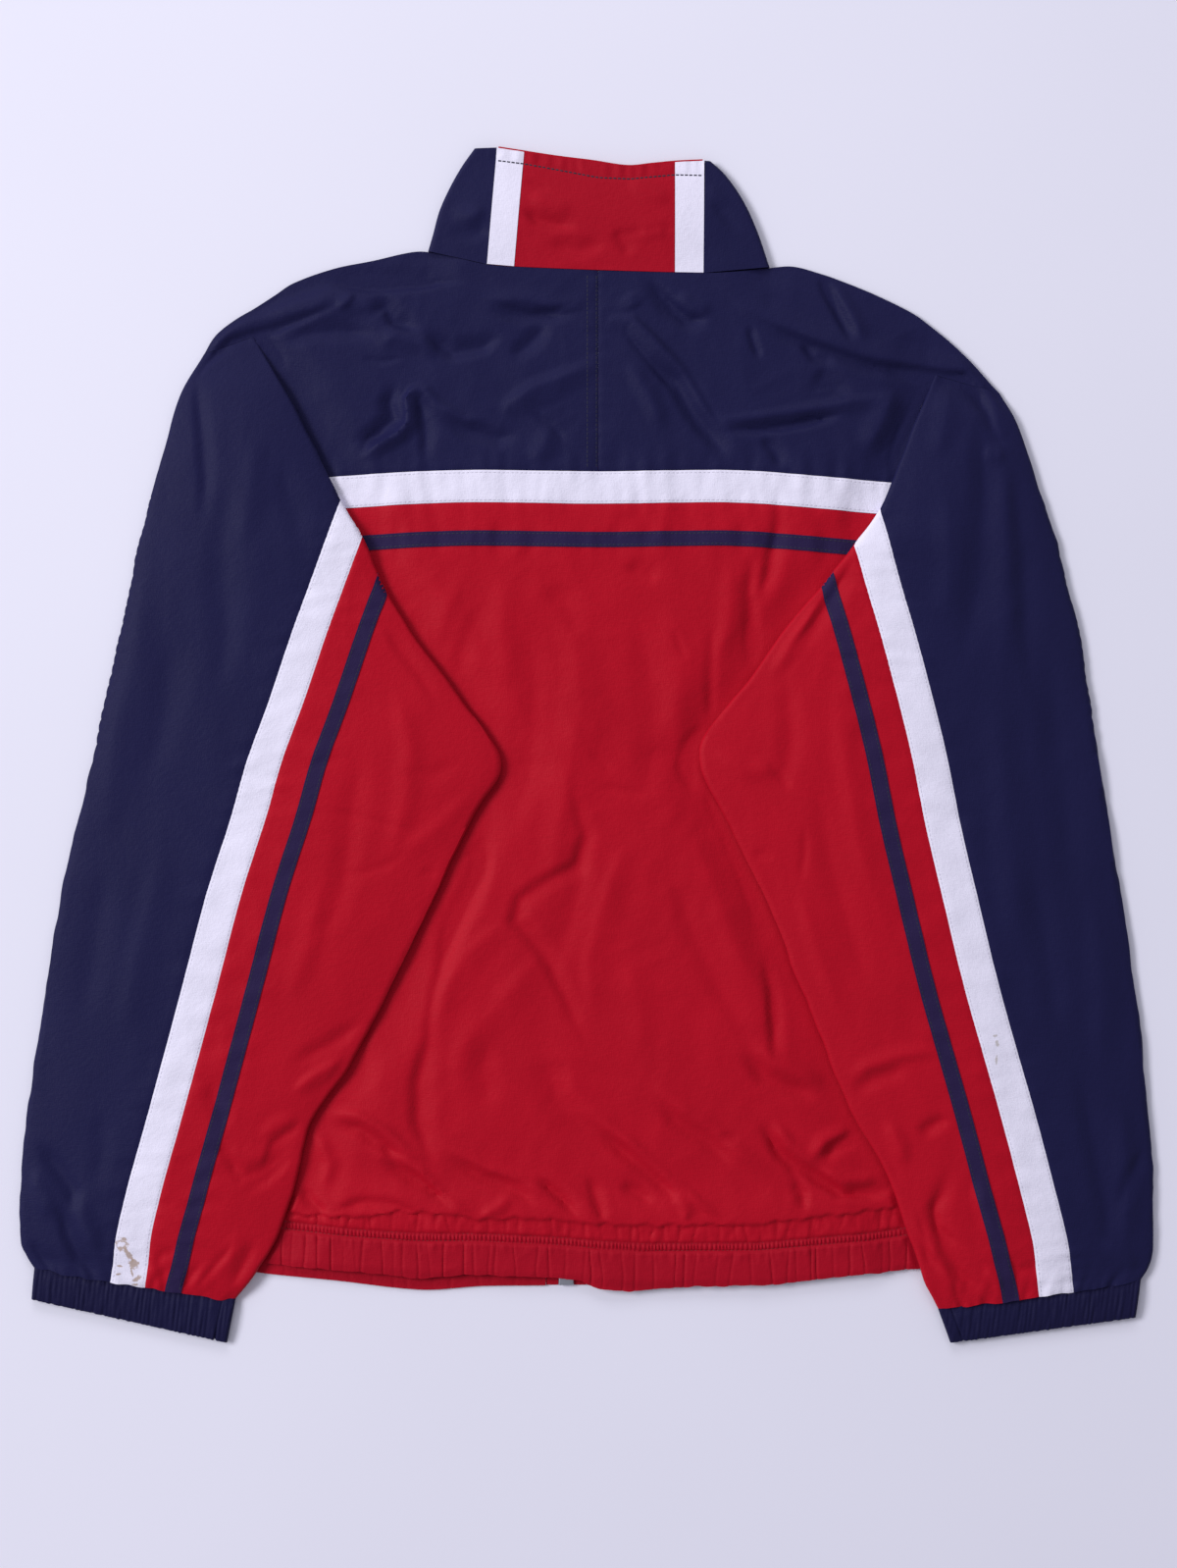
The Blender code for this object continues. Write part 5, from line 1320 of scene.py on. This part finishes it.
def build_stitching(cloth, sleeves):
    """Stitches on both edges of the band, the stripes and the tapes, and on the seams."""
    x = np.arange(-206.0, 228.0, PATH_STEP)
    yoke = along_line(YOKE_LINE, x)
    shown = (x > fold_x(LEFT_SLEEVE, yoke) - 4) & (x < fold_x(RIGHT_SLEEVE, yoke) + 4)
    x, yoke = x[shown], yoke[shown]
    white = [on_cloth(back_middle, x, yoke - INSET), on_cloth(back_middle, x, yoke - BAND + INSET)]
    navy = [on_cloth(tape_middle, x, yoke - TAPE_DROP[0] - inset) for inset in (TAPE_INSET, 8.9)]
    y = np.arange(191.0, 326.0, PATH_STEP)
    navy += [on_cloth(back_middle, CENTRE_BACK - inset, y) for inset in (7.5, 1.2)]
    x = np.arange(-232.0, 240.0, PATH_STEP)
    y = along_line(HEM_ROWS, x)
    red = [on_cloth(back_middle, x, y), on_cloth(back_middle, x, y - STITCH_ROWS)]
    x = np.arange(COLLAR_STITCHES[0][0], COLLAR_STITCHES[-1][0], PATH_STEP)
    collar = [on_cloth(collar_middle, x, along_line(COLLAR_STITCHES, x), STITCH_LIFT)]
    for sleeve in sleeves:
        white += [sleeve.stitch_line(0.0, sleeve.stripe_start, inset, SHELL / 2.0)
                  for inset in (INSET, STRIPE - INSET)]
        navy += [sleeve.stitch_line(STRIPE + STRIPE_TO_TAPE, sleeve.tape_start, inset,
                                    SHELL / 2.0 + TAPE_LIFT)
                 for inset in (TAPE_INSET, SLEEVE_TAPE - TAPE_INSET)]
    build_stitches("collar_stitches", collar, cloth["thread_navy"], width=0.9)
    for colour, lines in (("navy", navy), ("red", red), ("white", white)):
        build_stitches(colour + "_stitches", lines, cloth["thread_" + colour])


def build_stage(cloth):
    corners = [(-FLOOR_HALF, -FLOOR_HALF, 0), (FLOOR_HALF, -FLOOR_HALF, 0),
               (FLOOR_HALF, FLOOR_HALF, 0), (-FLOOR_HALF, FLOOR_HALF, 0)]
    floor = put("floor", new_mesh("floor", corners, [(0, 1, 2, 3)], cloth["floor"]))
    floor.location.z = -FLOOR_GAP * MM


def area_light(name, place, aim, size, power, colour):
    data = bpy.data.lights.new(name, "AREA")
    data.shape = "RECTANGLE"
    data.size, data.size_y = size
    data.energy = power
    data.color = colour
    made = put(name, data)
    made.location = place
    made.rotation_euler = (Vector(aim) - Vector(place)).to_track_quat("-Z", "Y").to_euler()
    made.visible_camera = False


def build_lights():
    area_light("window", (-4.3, 1.2, 3.6), (-0.05, 0.0, 0.0), (2.6, 1.8), 246.0, (1.0, 0.995, 1.0))
    area_light("top_window", (-0.4, 3.2, 2.0), (0.0, 0.0, 0.0), (2.0, 1.4), 34.0, (0.99, 0.99, 1.0))
    world = bpy.data.worlds.new("studio")
    world.use_nodes = True
    background = world.node_tree.nodes["Background"]
    fill(world.node_tree, background, {"Color": (0.93, 0.93, 1.0, 1.0), "Strength": 0.38})
    bpy.context.scene.world = world
    bpy.context.scene.view_settings.view_transform = "Standard"


def build_camera():
    """Straight above the middle of the photograph, framed as it is."""
    data = bpy.data.cameras.new("camera")
    camera = put("camera", data)
    middle = from_photo(np.array(PHOTO_SIZE) / 2.0) * MM
    camera.location = (*middle, CAMERA_HEIGHT)
    data.lens = data.sensor_width * CAMERA_HEIGHT / (PHOTO_SIZE[1] * PHOTO_MM * MM)
    data.clip_end = 20.0
    bpy.context.scene.camera = camera


def main():
    cloth = make_materials()
    build_camera()
    build_lights()
    build_stage(cloth)
    build_body(cloth)
    sleeves = [Sleeve(LEFT_SLEEVE, "left", LEFT_SLEEVE_FOLDS, 12.0),
               Sleeve(RIGHT_SLEEVE, "right", RIGHT_SLEEVE_FOLDS, 27.0)]
    for sleeve in sleeves:
        sleeve.build(cloth)
    for sleeve, edge in zip(sleeves, (LEFT_CUFF_EDGE, RIGHT_CUFF_EDGE)):
        build_cuff(sleeve, edge, cloth)
    build_collar(cloth)
    build_zip(cloth)
    build_stitching(cloth, sleeves)


main()
